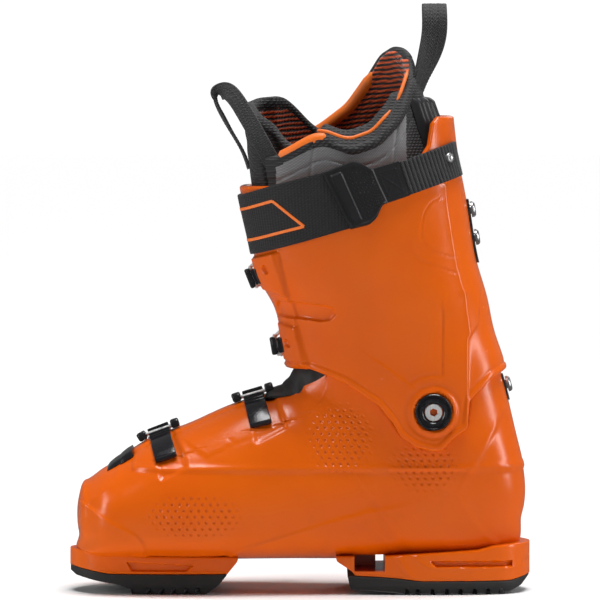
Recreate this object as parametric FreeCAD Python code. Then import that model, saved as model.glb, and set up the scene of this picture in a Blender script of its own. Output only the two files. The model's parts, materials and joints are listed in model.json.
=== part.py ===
import FreeCAD, Part
import math
import os

from FreeCAD import Vector

# A right alpine ski boot, buckled. +X points to the toe, +Y to the inner (medial) side, +Z up.
# The origin is the mid-sole mark: half the sole length, centre line, on the ground.

# ---------------------------------------------------------------- driving dimensions, mm
SOLE_LENGTH = 306.6
SOLE_WIDTH = 69.0
TOE_END = SOLE_LENGTH / 2
HEEL_END = -SOLE_LENGTH / 2
SHELL_WALL = 5.0
CUFF_WALL = 4.5
LINER_WALL = 8.0
PIVOT_X = -88.0
PIVOT_Z = 122.0
FLEX_LIMIT_DEG = 5.0
FLEX_CLEARANCE_DEG = FLEX_LIMIT_DEG + 1.0
SECTION_POINTS = 20

TOE_LUG_TOP = 28.7
HEEL_LUG_TOP = 33.0
TOE_RUBBER_TOP = 13.5
HEEL_RUBBER_TOP = 9.0
BOARD_BOTTOM = 26.2
BOARD_TOP = 32.6
LINER_BOTTOM = 33.0
INSOLE_BOTTOM = 39.0
INSOLE_TOP = 42.0

Y_AXIS = Vector(0, 1, 0)
Z_AXIS = Vector(0, 0, 1)
FAR = 400.0

# ---------------------------------------------------------------- surface stations
# A station is one cross-section of the boot: (low x, low z, high x, high z, half width, place of the
# widest point from low to high, roundness below it, roundness above it, nose). The section lies in the
# plane through its low and high points and the Y direction. nose is 1 where the section closes the
# front of the toe, and such a section moves along X when the surface is offset.
SHELL_STATIONS = [
    (147.6, 39, 147.8, 62, 13.0, 0.50, 2.2, 2.2, 1),
    (146.0, 34, 146.2, 69, 24.0, 0.48, 2.3, 2.2, 1),
    (141.5, 29, 142.0, 74, 33.0, 0.45, 2.4, 2.2, 1),
    (133.0, 24, 134.0, 79.5, 41.5, 0.42, 2.6, 2.2, 0.8),
    (118.0, 21.5, 120.0, 87.5, 48.5, 0.38, 2.7, 2.2, 0.4),
    (97.0, 21.5, 100.0, 100.0, 53.5, 0.35, 2.7, 2.2, 0),
    (72.0, 21.5, 77.0, 108.7, 55.5, 0.32, 2.7, 2.2, 0),
    (40.0, 21.5, 48.0, 121.5, 53.0, 0.32, 2.7, 2.2, 0),
    (2.0, 21.5, 20.0, 130.5, 49.0, 0.34, 2.6, 2.2, 0),
    (-40.0, 21.5, 9.5, 134.5, 45.5, 0.38, 2.6, 2.2, 0),
    (-85.0, 21.5, 6.0, 138.0, 43.0, 0.42, 2.5, 2.3, 0),
    (-124.0, 24.0, 4.0, 140.5, 42.0, 0.46, 2.3, 2.3, 0),
    (-146.0, 45.0, 2.5, 143.0, 41.5, 0.48, 2.2, 2.3, 0),
    (-150.0, 76.0, 1.0, 145.0, 41.3, 0.50, 2.2, 2.3, 0),
    (-144.2, 103.0, -0.5, 147.0, 41.2, 0.50, 2.2, 2.3, 0),
    (-138.5, 127.0, -2.0, 149.0, 41.2, 0.50, 2.2, 2.3, 0),
    (-132.0, 150.0, -3.5, 151.5, 41.0, 0.50, 2.2, 2.3, 0),
    (-127.0, 166.0, -5.0, 154.0, 40.5, 0.50, 2.2, 2.3, 0),
]
CUFF_STATIONS = [
    (-151.0, 84.0, 16.0, 112.0, 47.2, 0.50, 2.3, 2.2, 0),
    (-145.0, 106.0, 12.0, 130.0, 47.4, 0.50, 2.3, 2.2, 0),
    (-139.0, 134.0, 8.0, 147.0, 47.6, 0.50, 2.3, 2.2, 0),
    (-136.5, 152.0, 9.0, 158.0, 47.9, 0.50, 2.3, 2.2, 0),
    (-130.0, 172.0, 11.5, 173.0, 48.6, 0.50, 2.3, 2.2, 0),
    (-125.0, 195.0, 16.0, 191.0, 50.0, 0.50, 2.3, 2.2, 0),
    (-118.5, 217.0, 26.0, 209.0, 51.5, 0.50, 2.3, 2.2, 0),
    (-114.0, 240.0, 32.0, 232.0, 52.5, 0.50, 2.3, 2.2, 0),
    (-110.6, 262.0, 37.0, 254.0, 53.0, 0.50, 2.3, 2.2, 0),
    (-106.0, 286.0, 41.0, 274.0, 53.0, 0.50, 2.3, 2.2, 0),
    (-102.0, 318.0, 45.0, 300.0, 52.5, 0.50, 2.3, 2.2, 0),
]
LINER_STATIONS = [
    (-127.5, 112.0, -6.0, 124.0, 35.5, 0.50, 2.2, 2.3, 0),
    (-126.0, 130.0, -3.0, 143.0, 35.5, 0.50, 2.2, 2.3, 0),
    (-122.5, 152.0, -1.0, 157.0, 35.7, 0.50, 2.2, 2.3, 0),
    (-120.0, 172.0, 4.0, 174.0, 38.5, 0.50, 2.2, 2.3, 0),
    (-117.5, 196.0, 10.0, 192.0, 43.5, 0.50, 2.2, 2.3, 0),
    (-112.5, 217.0, 19.0, 209.0, 45.5, 0.50, 2.2, 2.3, 0),
    (-108.0, 240.0, 25.5, 232.0, 46.5, 0.50, 2.2, 2.3, 0),
    (-104.0, 262.0, 30.5, 254.0, 47.0, 0.50, 2.2, 2.3, 0),
    (-97.0, 286.0, 34.0, 276.0, 46.5, 0.50, 2.2, 2.3, 0),
    (-86.0, 318.0, 37.0, 303.0, 44.5, 0.50, 2.2, 2.3, 0),
    (-76.0, 352.0, 38.5, 330.0, 41.0, 0.50, 2.2, 2.3, 0),
    (-69.0, 372.0, 39.0, 350.0, 39.0, 0.50, 2.2, 2.3, 0),
]


def section_curve(station, offset):
    """One closed section, grown outwards by offset."""
    low_x, low_z, high_x, high_z, width, widest, low_round, high_round, nose = station
    along = Vector(high_x - low_x, 0, high_z - low_z)
    depth = along.Length
    along.normalize()
    base = Vector(low_x + nose * offset, 0, low_z) - along * offset
    depth += 2 * offset
    points = []
    for index in range(SECTION_POINTS):
        angle = 2 * math.pi * index / SECTION_POINTS
        cosine, sine = math.cos(angle), math.sin(angle)
        power = 2 / (high_round if cosine >= 0 else low_round)
        reach = abs(cosine) ** power
        height = widest + (1 - widest) * reach if cosine >= 0 else widest * (1 - reach)
        side = math.copysign((width + offset) * abs(sine) ** power, sine)
        points.append(base + along * (height * depth) + Y_AXIS * side)
    curve = Part.BSplineCurve()
    parameters = [index / SECTION_POINTS for index in range(SECTION_POINTS + 1)]
    curve.interpolate(Points=points, PeriodicFlag=True, Parameters=parameters)
    return curve


def skin(stations, offset):
    """A closed solid through the stations: one smooth surface round them all, and a flat cap at each end."""
    rows = [section_curve(station, offset) for station in stations]
    middles = [Vector(s[0] + s[2], 0, s[1] + s[3]) * 0.5 for s in stations]
    travel = [0.0]
    for before, after in zip(middles, middles[1:]):
        travel.append(travel[-1] + (after - before).Length)
    steps = [place / travel[-1] for place in travel]
    columns = []
    for index in range(1, rows[0].NbPoles + 1):
        column = Part.BSplineCurve()
        column.interpolate(Points=[row.getPole(index) for row in rows], Parameters=steps)
        columns.append(column)
    grid = [list(row) for row in zip(*(column.getPoles() for column in columns))]
    side = Part.BSplineSurface()
    side.buildFromPolesMultsKnots(
        grid, columns[0].getMultiplicities(), rows[0].getMultiplicities(), columns[0].getKnots(),
        rows[0].getKnots(), False, True, 3, 3,
    )
    face = side.toShape()
    rims = [edge for edge in face.Edges if edge.isClosed()]
    shell = Part.Shell([face] + [Part.Face(Part.Wire(rim)) for rim in rims])
    shell.sewShape()
    solid = Part.Solid(shell)
    return solid if solid.Volume > 0 else solid.reversed()


SURFACES = {}


def surface(name, offset=0.0):
    """The solid inside the named surface, grown by offset; each one is built once."""
    key = (name, round(offset, 3))
    if key not in SURFACES:
        stations = {"shell": SHELL_STATIONS, "cuff": CUFF_STATIONS, "liner": LINER_STATIONS}[name]
        SURFACES[key] = skin(stations, offset)
    return SURFACES[key]


def layer(block, name, inner, outer):
    """The part of block that lies between two offsets of a surface."""
    return block.common(surface(name, outer)).cut(surface(name, inner))


def side_prism(outline, low_y=-FAR, high_y=FAR):
    """A side-view outline of (x, z) points, extruded across the boot."""
    corners = [Vector(x, low_y, z) for x, z in outline]
    face = Part.Face(Part.makePolygon(corners + corners[:1]))
    return face.extrude(Vector(0, high_y - low_y, 0))


def plan_prism(outline, low_z, high_z):
    """A plan outline of (x, y) points, extruded upwards."""
    corners = [Vector(x, y, low_z) for x, y in outline]
    face = Part.Face(Part.makePolygon(corners + corners[:1]))
    return face.extrude(Vector(0, 0, high_z - low_z))


def rod(centre, direction, radius, start, end):
    """A cylinder along direction through centre, between two distances from it."""
    direction = Vector(direction).normalize()
    return Part.makeCylinder(radius, end - start, centre + direction * start, direction)


def outer_hit(name, origin, direction, reach=120.0):
    """Where a ray from inside a surface leaves it."""
    line = Part.LineSegment(origin, origin + direction * reach).toShape()
    inside = surface(name).common(line)
    return max((vertex.Point for vertex in inside.Vertexes), key=lambda p: (p - origin).Length)


def outer_frame(name, origin, direction):
    """The point where a ray leaves a surface, and the surface's outward normal there."""
    direction = Vector(direction).normalize()
    slants = [direction.cross(Vector(0.3, 0.2, 0.9)).normalize()]
    slants.append(direction.cross(slants[0]).normalize())
    here = outer_hit(name, origin, direction)
    tangents = []
    for slant in slants:
        ahead = outer_hit(name, origin, (direction + slant * 0.03).normalize())
        behind = outer_hit(name, origin, (direction - slant * 0.03).normalize())
        tangents.append(ahead - behind)
    normal = tangents[0].cross(tangents[1]).normalize()
    return here, normal if normal.dot(direction) > 0 else -normal


def turned(shape, degrees):
    """The shape as the cuff carries it, flexed forward about the ankle pivot."""
    copy = shape.copy()
    copy.rotate(Vector(PIVOT_X, 0, PIVOT_Z), Y_AXIS, degrees)
    return copy


def biggest(shape):
    return max(shape.Solids, key=lambda solid: solid.Volume)


def joined(shapes):
    first = shapes[0]
    return first.multiFuse(shapes[1:]) if len(shapes) > 1 else first


# ---------------------------------------------------------------- buckle planes
class Buckle:
    """A buckle wraps the boot in one plane. Angles run from the plane's crown towards the inner side."""

    LADDER = (0.3, 2.2, 4.2)
    ARM = (3.4, 5.8)
    ARM_WIDTH = 2.2
    THROW = 13.0
    PIN_RADIUS = 1.5
    HUB_RADIUS = 3.2

    def __init__(self, name, surface_name, crown, slope_deg, depth, half, lift, ladder, hook, pivot, lever_length):
        self.name = name
        self.surface_name = surface_name
        self.half = half
        self.half_ladder = 0.58 * half
        self.arm_inner = half + 0.5
        self.arm_outer = self.arm_inner + self.ARM_WIDTH
        self.neck = half - 3.1
        self.axis_height = 4.9 + lift
        slope = math.radians(slope_deg)
        self.crown_direction = Vector(math.cos(slope), 0, math.sin(slope))
        self.axis = Vector(-math.sin(slope), 0, math.cos(slope))
        self.centre = Vector(crown[0], 0, crown[1]) - self.crown_direction * depth
        self.ladder_angles = ladder
        self.hook_angle = hook
        self.pivot_angle = pivot
        self.lever_length = lever_length
        self.pivot_point = self.point(pivot, self.axis_height)
        self.reach = (self.pivot_point - self.centre).Length
        self.bail_angle = pivot - math.degrees(self.THROW / self.reach)
        self.bail_point = self.point(self.bail_angle, self.axis_height + 0.4)
        self.hook_point = self.point(hook, 4.2 + lift)

    def direction(self, angle):
        turn = math.radians(angle)
        return self.crown_direction * math.cos(turn) + Y_AXIS * math.sin(turn)

    def point(self, angle, height):
        """A point at a height above the surface, measured along the surface's own normal."""
        here = outer_hit(self.surface_name, self.centre, self.direction(angle))
        before = outer_hit(self.surface_name, self.centre, self.direction(angle - 2))
        after = outer_hit(self.surface_name, self.centre, self.direction(angle + 2))
        along = (after - before).normalize()
        normal = along.cross(self.axis).normalize()
        if normal.dot(here - self.centre) < 0:
            normal = -normal
        return here + normal * height

    def sector(self, start, end, low, high):
        """A wedge of the plane between two angles, low to high across the buckle's width."""
        steps = max(2, int(abs(end - start) / 25) + 1)
        rim = [self.centre + self.direction(start + (end - start) * i / steps) * 130 for i in range(steps + 1)]
        corners = [self.centre] + rim
        face = Part.Face(Part.makePolygon([p + self.axis * low for p in corners + corners[:1]]))
        return face.extrude(self.axis * (high - low))

    def band(self, start, end, low, high, inner, outer):
        return layer(self.sector(start, end, low, high), self.surface_name, inner, outer)

    def degrees(self, length):
        return math.degrees(length / self.reach)

    def across(self, centre, radius, half):
        return rod(centre, self.axis, radius, -half, half)

    def ladder(self):
        """The toothed catch, with one rung gap left free for the bail's wire."""
        low, floor, top = self.LADDER
        start, end = self.ladder_angles
        half = self.half_ladder
        plate = self.band(start, end, -half, half, low, top)
        pitch = self.degrees(5.4)
        tooth = self.degrees(1.9)
        angle = self.hook_angle - self.degrees(3.4)
        plate = plate.cut(self.sector(start - 1, angle - tooth, -half - 1, half + 1).cut(surface(self.surface_name, floor)))
        gap = angle
        first = True
        while gap < end:
            stop = gap + (self.degrees(8.0) if first else pitch - tooth)
            first = False
            groove = self.sector(gap, min(stop, end + 1), -half - 1, half + 1)
            plate = plate.cut(groove.cut(surface(self.surface_name, floor)))
            gap = stop + tooth
        return biggest(plate.cut(self.across(self.hook_point, 1.7, 2 * half)))

    def base(self):
        """Riveted plate with two ears that hold the lever's pin."""
        start = self.pivot_angle - self.degrees(22)
        end = self.pivot_angle + self.degrees(9)
        ear_width = 1.8
        plate = self.band(start, end, 0.6 - self.half, self.half - 0.6, 0.05, 1.3)
        plate = plate.cut(self.across(self.pivot_point, self.HUB_RADIUS + 0.4, self.neck + 0.2))
        ear_angle = self.degrees(4)
        ears = []
        for low in (0.6 - self.half, self.half - 0.6 - ear_width):
            disc = rod(self.pivot_point, self.axis, 4.0, low, low + ear_width)
            foot = self.band(
                self.pivot_angle - ear_angle, self.pivot_angle + ear_angle, low, low + ear_width, 0.05, 3.4
            )
            ears.append(disc.fuse(foot))
        plate = joined([plate] + ears).cut(surface(self.surface_name, 0.05))
        return plate.cut(self.across(self.pivot_point, self.PIN_RADIUS + 0.06, 20))

    def pin(self):
        return self.across(self.pivot_point, self.PIN_RADIUS, self.half - 0.1)

    def lever(self):
        """Closed, the lever lies back from its pivot along the outer side of the boot."""
        neck_end = self.pivot_angle - self.degrees(8)
        tip = self.pivot_angle - self.degrees(self.lever_length)
        lift = self.axis_height - 4.9
        neck = self.band(neck_end - 1, self.pivot_angle, -self.neck, self.neck, 3.9 + lift, 6.8 + lift)
        blade = self.band(tip, neck_end, -self.half, self.half, 3.6 + lift, 7.2 + lift)
        hub = self.across(self.pivot_point, self.HUB_RADIUS, self.neck)
        body = joined([blade, neck, hub])
        body = body.cut(self.across(self.pivot_point, self.PIN_RADIUS + 0.06, 20))
        return biggest(body.cut(self.across(self.bail_point, 1.26, 20)))

    def bail_wire(self):
        """Two arms pinned to the lever, joined by the wire that hooks on the ladder."""
        pieces = [
            self.across(self.bail_point, 1.2, self.arm_inner + 1.2),
            self.across(self.hook_point, 1.3, self.arm_inner + 1.2),
        ]
        for side in (-1, 1):
            low, high = sorted((side * self.arm_inner, side * self.arm_outer))
            pieces.append(self.band(self.bail_angle - 2.5, self.hook_angle + 2.5, low, high, *self.ARM))
        return joined(pieces)

    def bail_clips(self):
        """Moulded corner blocks that hold the wire's two ends."""
        start = self.hook_angle - self.degrees(6)
        end = self.hook_angle + self.degrees(3.5)
        blocks = []
        for side in (-1, 1):
            low, high = sorted((side * (self.half - 1.4), side * (self.half + 3.5)))
            blocks.append(self.band(start, end, low, high, 2.5, 7.4))
        return Part.makeCompound([biggest(block) for block in blocks])

    def rivet(self, angle, low, high, radius=3.2):
        """A flat rivet head on the surface, with its centre line on the surface's normal."""
        foot = self.point(angle, 0)
        head = self.point(angle, 1)
        return rod(foot, head - foot, radius, low, high)


BUCKLES = [
    Buckle("toe", "shell", (92.5, 103.5), 71, 45, 11.4, 0, (-13, 53), 6, -42, 52),
    Buckle("instep", "shell", (30.0, 127.5), 74, 50, 11.4, 0, (-12, 46), 5, -42, 54),
    Buckle("lower_cuff", "cuff", (11.0, 164.0), -22, 60, 9.0, 0.8, (-12, 15), 2, -47, 56),
    Buckle("upper_cuff", "cuff", (27.0, 210.8), -18, 64, 9.0, 0.4, (-12, 15), 2, -46, 60),
]

# ---------------------------------------------------------------- sole
PARTS = {}

TOE_OUTLINE = [(44, 34.5), (112, 34.5), (128, 31.5), (140, 25.5), (148.5, 16), (TOE_END, 5)]
HEEL_OUTLINE = [(-25, 34.5), (-122, 34.5), (-136, 30.5), (-145, 23), (-151, 12.5), (HEEL_END, 4)]


def both_sides(half_outline):
    return half_outline + [(x, -y) for x, y in reversed(half_outline)]


def sole_pad(side_outline, plan_outline):
    pad = side_prism(side_outline, -SOLE_WIDTH / 2, SOLE_WIDTH / 2)
    return pad.common(plan_prism(both_sides(plan_outline), -1, 60))


toe_profile = [
    (48.5, TOE_RUBBER_TOP), (53.8, 6.3), (59, 2.4), (62, 0), (110, 0), (114, 3.6), (118, 6), (127, 7.4),
    (149, 11.5), (TOE_END, 14), (TOE_END, 17.5), (138, 15), (127, TOE_RUBBER_TOP),
]
heel_profile = [
    (-31.5, 12.6), (-33.5, 3.4), (-62, 1.6), (-70, 0), (-132, 0), (-139, 1.6), (-147, 5.2), (-151, 9.6),
    (-151.5, 11.4), (-140, HEEL_RUBBER_TOP), (-80, HEEL_RUBBER_TOP), (-66, 10.8), (-50, 12),
]
SCREW_PLACES = {
    "toe": [(104, 20), (104, -20), (66, 22), (66, -22)],
    "heel": [(-76, 22), (-76, -22), (-126, 18), (-126, -18)],
}


def sole_screws(places, grow=0.0):
    """Countersunk screws from below; grow gives the clearance for their holes."""
    screws = []
    for x, y in places:
        low = 3.0 if grow == 0 else -1.0
        head = Part.makeCylinder(3.8 + grow, 5.6 - low, Vector(x, y, low))
        shank = Part.makeCylinder(2.0 + grow, 17.4 - 5.6 + grow, Vector(x, y, 5.6))
        screws.append(head.fuse(shank))
    return Part.makeCompound(screws)


toe_block_side = [(45, TOE_RUBBER_TOP), (41, 23), (41, TOE_LUG_TOP), (TOE_END, TOE_LUG_TOP)] + [
    (TOE_END, 17.6), (138, 15.1), (127, TOE_RUBBER_TOP + 0.1)
]
heel_block_side = [(-31, 12.7), (-25, 23), (-25, HEEL_LUG_TOP - 4), (-120, HEEL_LUG_TOP), (HEEL_END, HEEL_LUG_TOP)] + [
    (HEEL_END, 11.6), (-151.5, 11.5), (-140, HEEL_RUBBER_TOP + 0.1), (-80, HEEL_RUBBER_TOP + 0.1),
    (-66, 10.9), (-50, 12.1),
]
PARTS["toe_sole"] = sole_pad(toe_profile, TOE_OUTLINE).cut(sole_screws(SCREW_PLACES["toe"], 0.1))
PARTS["heel_sole"] = sole_pad(heel_profile, HEEL_OUTLINE).cut(sole_screws(SCREW_PLACES["heel"], 0.1))
for end in ("toe", "heel"):
    PARTS[end + "_sole_screws"] = sole_screws(SCREW_PLACES[end])

# ---------------------------------------------------------------- cuff
CUFF_LOWER_EDGE = [
    (60, 150.2), (7.6, 150.2), (-6.3, 150.8), (-18.2, 146.9), (-30, 142.2), (-39.9, 135.6), (-51.8, 127.7),
    (-61, 116.5), (-66.3, 107.3), (-75.6, 100.7), (-87.5, 97.4), (-93.4, 98), (-101.3, 105.9),
    (-110, 111.9), (-112, 129.7), (-115.8, 134.3), (-127.7, 144.9), (-138, 150.2), (-170, 150.2),
]
CUFF_UPPER_EDGE = [
    (-170, 316), (-92, 315), (-88.5, 311), (-86, 297), (-80, 288), (-60, 281.5), (-15, 273.5), (18, 269), (60, 268),
]
cuff_outline = side_prism(CUFF_LOWER_EDGE + CUFF_UPPER_EDGE)
cuff_shell = cuff_outline.common(surface("cuff")).cut(surface("cuff", -CUFF_WALL))

# ---------------------------------------------------------------- liner
SHAFT_BOTTOM = [(-170, PIVOT_Z + 0.4), (PIVOT_X, PIVOT_Z + 0.4), (12, 155), (60, 171), (60, 291), (17, 291), (4, 299)]
SHAFT_OUTLINE = SHAFT_BOTTOM + [(-16, 310.5), (-34, 324), (-48.5, 343), (-58, 357), (-66, 362), (-71, 361), (-100, 361)]
INNER_SIDE_DIP = [(-9, 303), (-20, 296.5), (-34, 292.5), (-50, 299), (-64, 314), (-75, 329), (-100, 340)]
FOOT_TOP = [(-170, PIVOT_Z - 0.4), (PIVOT_X, PIVOT_Z - 0.4), (12, 136.6), (24, 138), (200, 138)]
TONGUE_BOTTOM = [(-28, 143.5), (12, 156), (60, 172), (60, 300)]
TONGUE_OUTLINE = TONGUE_BOTTOM + [(38, 318), (31, 327.5), (16, 330), (4, 326), (-10, 311)]
TONGUE_INNER_SIDE = TONGUE_BOTTOM + [(40, 312), (-10, 311)]
TONGUE_HALF = 27.0

liner_tube = surface("liner").cut(surface("liner", -LINER_WALL))
tongue_slot = Part.makeBox(100, 2 * TONGUE_HALF, 260, Vector(-24, -TONGUE_HALF, 120))
tongue_zone = Part.makeBox(100, 2 * TONGUE_HALF - 0.8, 260, Vector(-23.5, -TONGUE_HALF + 0.4, 120))
shaft_zone = side_prism(SHAFT_OUTLINE, -FAR, 10).fuse(side_prism(SHAFT_BOTTOM + INNER_SIDE_DIP, 9, FAR))
tongue_cut = side_prism(TONGUE_OUTLINE, -FAR, 8).fuse(side_prism(TONGUE_INNER_SIDE, 7, FAR))
PARTS["liner_shaft"] = biggest(shaft_zone.common(liner_tube).cut(tongue_slot))
PARTS["liner_tongue"] = biggest(tongue_cut.common(liner_tube).common(tongue_zone))
foot_zone = side_prism([(200, LINER_BOTTOM), (-170, LINER_BOTTOM)] + FOOT_TOP)
foot_outer = surface("shell", -SHELL_WALL - 0.6).common(foot_zone)
foot_room = surface("shell", -SHELL_WALL - 0.6 - LINER_WALL)
foot_room_zone = side_prism([(200, INSOLE_BOTTOM - 0.2), (-170, INSOLE_BOTTOM - 0.2), (-170, FAR), (200, FAR)])
liner_foot = foot_outer.cut(foot_room.common(foot_room_zone))
PARTS["insole"] = foot_room.common(Part.makeBox(FAR, 200, INSOLE_TOP - INSOLE_BOTTOM, Vector(-200, -100, INSOLE_BOTTOM)))

# ---------------------------------------------------------------- lower shell
board_zone = side_prism([(112, BOARD_BOTTOM), (-140, BOARD_BOTTOM), (-140, BOARD_TOP), (60, BOARD_TOP), (112, 29.5)])
PARTS["boot_board"] = surface("shell", -SHELL_WALL - 0.5).common(board_zone).common(
    Part.makeBox(FAR, 66, 60, Vector(-200, -33, 0))
)
blocks = [
    side_prism(toe_block_side, -SOLE_WIDTH / 2, SOLE_WIDTH / 2).common(plan_prism(both_sides(TOE_OUTLINE), 0, 60)),
    side_prism(heel_block_side, -SOLE_WIDTH / 2, SOLE_WIDTH / 2).common(plan_prism(both_sides(HEEL_OUTLINE), 0, 60)),
]
cavity = surface("shell", -SHELL_WALL).common(
    Part.makeBox(FAR, 200, FAR, Vector(-200, -100, BOARD_BOTTOM - 0.2))
)
throat = side_prism([(15, 129), (15, 190), (-60, 230), (-60, 150), (-25, 133)], -27, 27)
flex_steps = (0.0, FLEX_CLEARANCE_DEG / 2, FLEX_CLEARANCE_DEG)
cuff_room = joined([turned(side_prism(CUFF_LOWER_EDGE + [(-170, 230), (60, 230)]), angle) for angle in flex_steps])
cuff_inside = surface("cuff", -CUFF_WALL - 0.7)
for angle in flex_steps[1:]:
    cuff_inside = cuff_inside.common(turned(surface("cuff", -CUFF_WALL - 0.7), angle))
shell_body = surface("shell").cut(cuff_room.cut(cuff_inside))
shell_body = joined([shell_body] + blocks).cut(cavity).cut(throat)
shaft_room = side_prism(SHAFT_OUTLINE).common(surface("liner", 0.7))
for angle in flex_steps:
    shell_body = shell_body.cut(turned(shaft_room, angle))
shell_body = shell_body.cut(sole_screws(SCREW_PLACES["toe"], 0.1)).cut(sole_screws(SCREW_PLACES["heel"], 0.1))

# ---------------------------------------------------------------- ankle pivots
NUT_BARREL = 4.0
for side_name, side in (("medial", 1), ("lateral", -1)):
    centre = Vector(PIVOT_X, 0, PIVOT_Z)
    outward = Y_AXIS * side
    cuff_face = outer_hit("cuff", centre, outward).y * side
    shell_face = outer_hit("shell", centre, outward).y * side
    flange_face = shell_face - SHELL_WALL + 1.8
    washer = rod(centre, outward, 12.0, cuff_face + 0.2, cuff_face + 1.9)
    PARTS[side_name + "_pivot_washer"] = washer.cut(rod(centre, outward, 6.1, 0, 80))
    nut = rod(centre, outward, 8.0, flange_face - 1.6, flange_face)
    nut = nut.fuse(rod(centre, outward, NUT_BARREL, flange_face - 1.6, cuff_face + 0.5))
    PARTS[side_name + "_pivot_nut"] = nut.cut(rod(centre, outward, 3.0, 0, 80))
    screw = rod(centre, outward, 5.7, cuff_face + 0.55, cuff_face + 2.6)
    socket = rod(centre, outward, 2.2, cuff_face + 1.4, cuff_face + 4)
    PARTS[side_name + "_pivot_screw"] = screw.fuse(rod(centre, outward, 2.95, flange_face - 1.0, cuff_face + 1)).cut(socket)
    recess = rod(centre, outward, 8.3, flange_face - 8, flange_face + 0.05)
    shell_body = shell_body.cut(rod(centre, outward, NUT_BARREL + 0.04, 20, 80)).cut(recess)
    liner_foot = liner_foot.cut(rod(centre, outward, 8.8, flange_face - 2.4, 80))
    cuff_shell = cuff_shell.cut(rod(centre, outward, NUT_BARREL + 0.05, 20, 80))
    seat = rod(centre, outward, 12.4, cuff_face + 0.15, cuff_face + 6)
    cuff_shell = cuff_shell.cut(seat)
PARTS["liner_foot"] = biggest(liner_foot)

# ---------------------------------------------------------------- rear fasteners
def bolt(place, axis, head_start):
    """A round-headed bolt that goes in against axis; the hole for it is a little wider."""
    head = rod(place, axis, 5.3, head_start, head_start + 3.0)
    return head.fuse(rod(place, axis, 3.0, -4.2, head_start + 1)), rod(place, axis, 3.05, -20, 20)


washer_zone = Part.makeBox(60, 13, 17, Vector(-170, -6.5, 127.5))
heel_place, heel_axis = outer_frame("shell", Vector(-100, 0, 137), Vector(-1, 0, 0))
PARTS["heel_bolt"], hole = bolt(heel_place, heel_axis, 2.3)
PARTS["heel_bolt_washer"] = layer(washer_zone, "shell", 0.05, 1.8).cut(hole)
shell_body = shell_body.cut(hole)
PARTS["spine_plate"] = layer(Part.makeBox(60, 15, 42, Vector(-170, -7.5, 219)), "cuff", 0.05, 1.5)
spine_bolts = []
for height in (253.8, 235.3):
    place, axis = outer_frame("cuff", Vector(-60, 0, height), Vector(-1, 0, 0))
    spine_bolt, hole = bolt(place, axis, 2.0)
    spine_bolts.append(spine_bolt)
    PARTS["spine_plate"] = PARTS["spine_plate"].cut(hole)
    cuff_shell = cuff_shell.cut(hole)
PARTS["spine_bolts"] = Part.makeCompound(spine_bolts)

# ---------------------------------------------------------------- buckles
shell_rivets, cuff_rivets, shell_pins, cuff_pins = [], [], [], []
for buckle in BUCKLES:
    on_shell = buckle.surface_name == "shell"
    rivets = shell_rivets if on_shell else cuff_rivets
    (shell_pins if on_shell else cuff_pins).append(buckle.pin())
    ladder, base = buckle.ladder(), buckle.base()
    ladder_rivet = buckle.ladder_angles[1] - buckle.degrees(5)
    rivets.append(buckle.rivet(ladder_rivet, 0.9, 5.0))
    ladder = ladder.cut(buckle.rivet(ladder_rivet, -2, 20, 3.25))
    for distance in (12, 18):
        angle = buckle.pivot_angle - buckle.degrees(distance)
        rivets.append(buckle.rivet(angle, -2.0, 2.3, 2.4))
        hole = buckle.rivet(angle, -2.1, 20, 2.45)
        base = base.cut(hole)
        if on_shell:
            shell_body = shell_body.cut(hole)
        else:
            cuff_shell = cuff_shell.cut(hole)
    PARTS[buckle.name + "_ladder"] = biggest(ladder)
    PARTS[buckle.name + "_buckle_base"] = biggest(base)
    PARTS[buckle.name + "_lever"] = buckle.lever()
    PARTS[buckle.name + "_bail_wire"] = buckle.bail_wire()
    PARTS[buckle.name + "_bail_clips"] = buckle.bail_clips()
    for label, place in (("lever", buckle.pivot_point), ("bail", buckle.bail_point)):
        axis = buckle.axis
        print("JOINT", buckle.name, label, *(round(v, 5) for v in (*place, *axis)))
PARTS["shell_rivets"] = Part.makeCompound(shell_rivets)
PARTS["cuff_rivets"] = Part.makeCompound(cuff_rivets)
PARTS["shell_lever_pins"] = Part.makeCompound(shell_pins)
PARTS["cuff_lever_pins"] = Part.makeCompound(cuff_pins)
PARTS["lower_shell"] = biggest(shell_body)
PARTS["cuff_shell"] = biggest(cuff_shell)

# ---------------------------------------------------------------- seals and spoiler
toe_seal_zone = side_prism([(129, 60), (129, 100), (112.5, 110), (112.5, 70)], -22, 22)
PARTS["toe_seal"] = layer(toe_seal_zone, "shell", 0.1, 2.2)
gasket_zone = side_prism(
    [(-7, 149.5), (4, 149), (9.5, 143), (15.5, 138), (22.5, 135.8), (22.5, 130), (10, 130), (-7, 137)], -25, 25
)
under_bail = side_prism([(12, 120), (12, 170), (40, 170), (40, 120)]).cut(surface("shell", 2.0))
gasket = gasket_zone.cut(under_bail).cut(surface("shell", -1)).cut(surface("liner", 0.8))
PARTS["instep_gasket"] = biggest(gasket.cut(PARTS["lower_shell"]))
spoiler_zone = side_prism([(-120, 262), (-82, 262), (-74, 300), (-76, 329), (-89, 329), (-90, 318), (-100, 318)], -26, 26)
spoiler = spoiler_zone.common(surface("cuff", -CUFF_WALL - 0.4)).cut(surface("liner", 0.5))
PARTS["rear_spoiler"] = biggest(spoiler)

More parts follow.
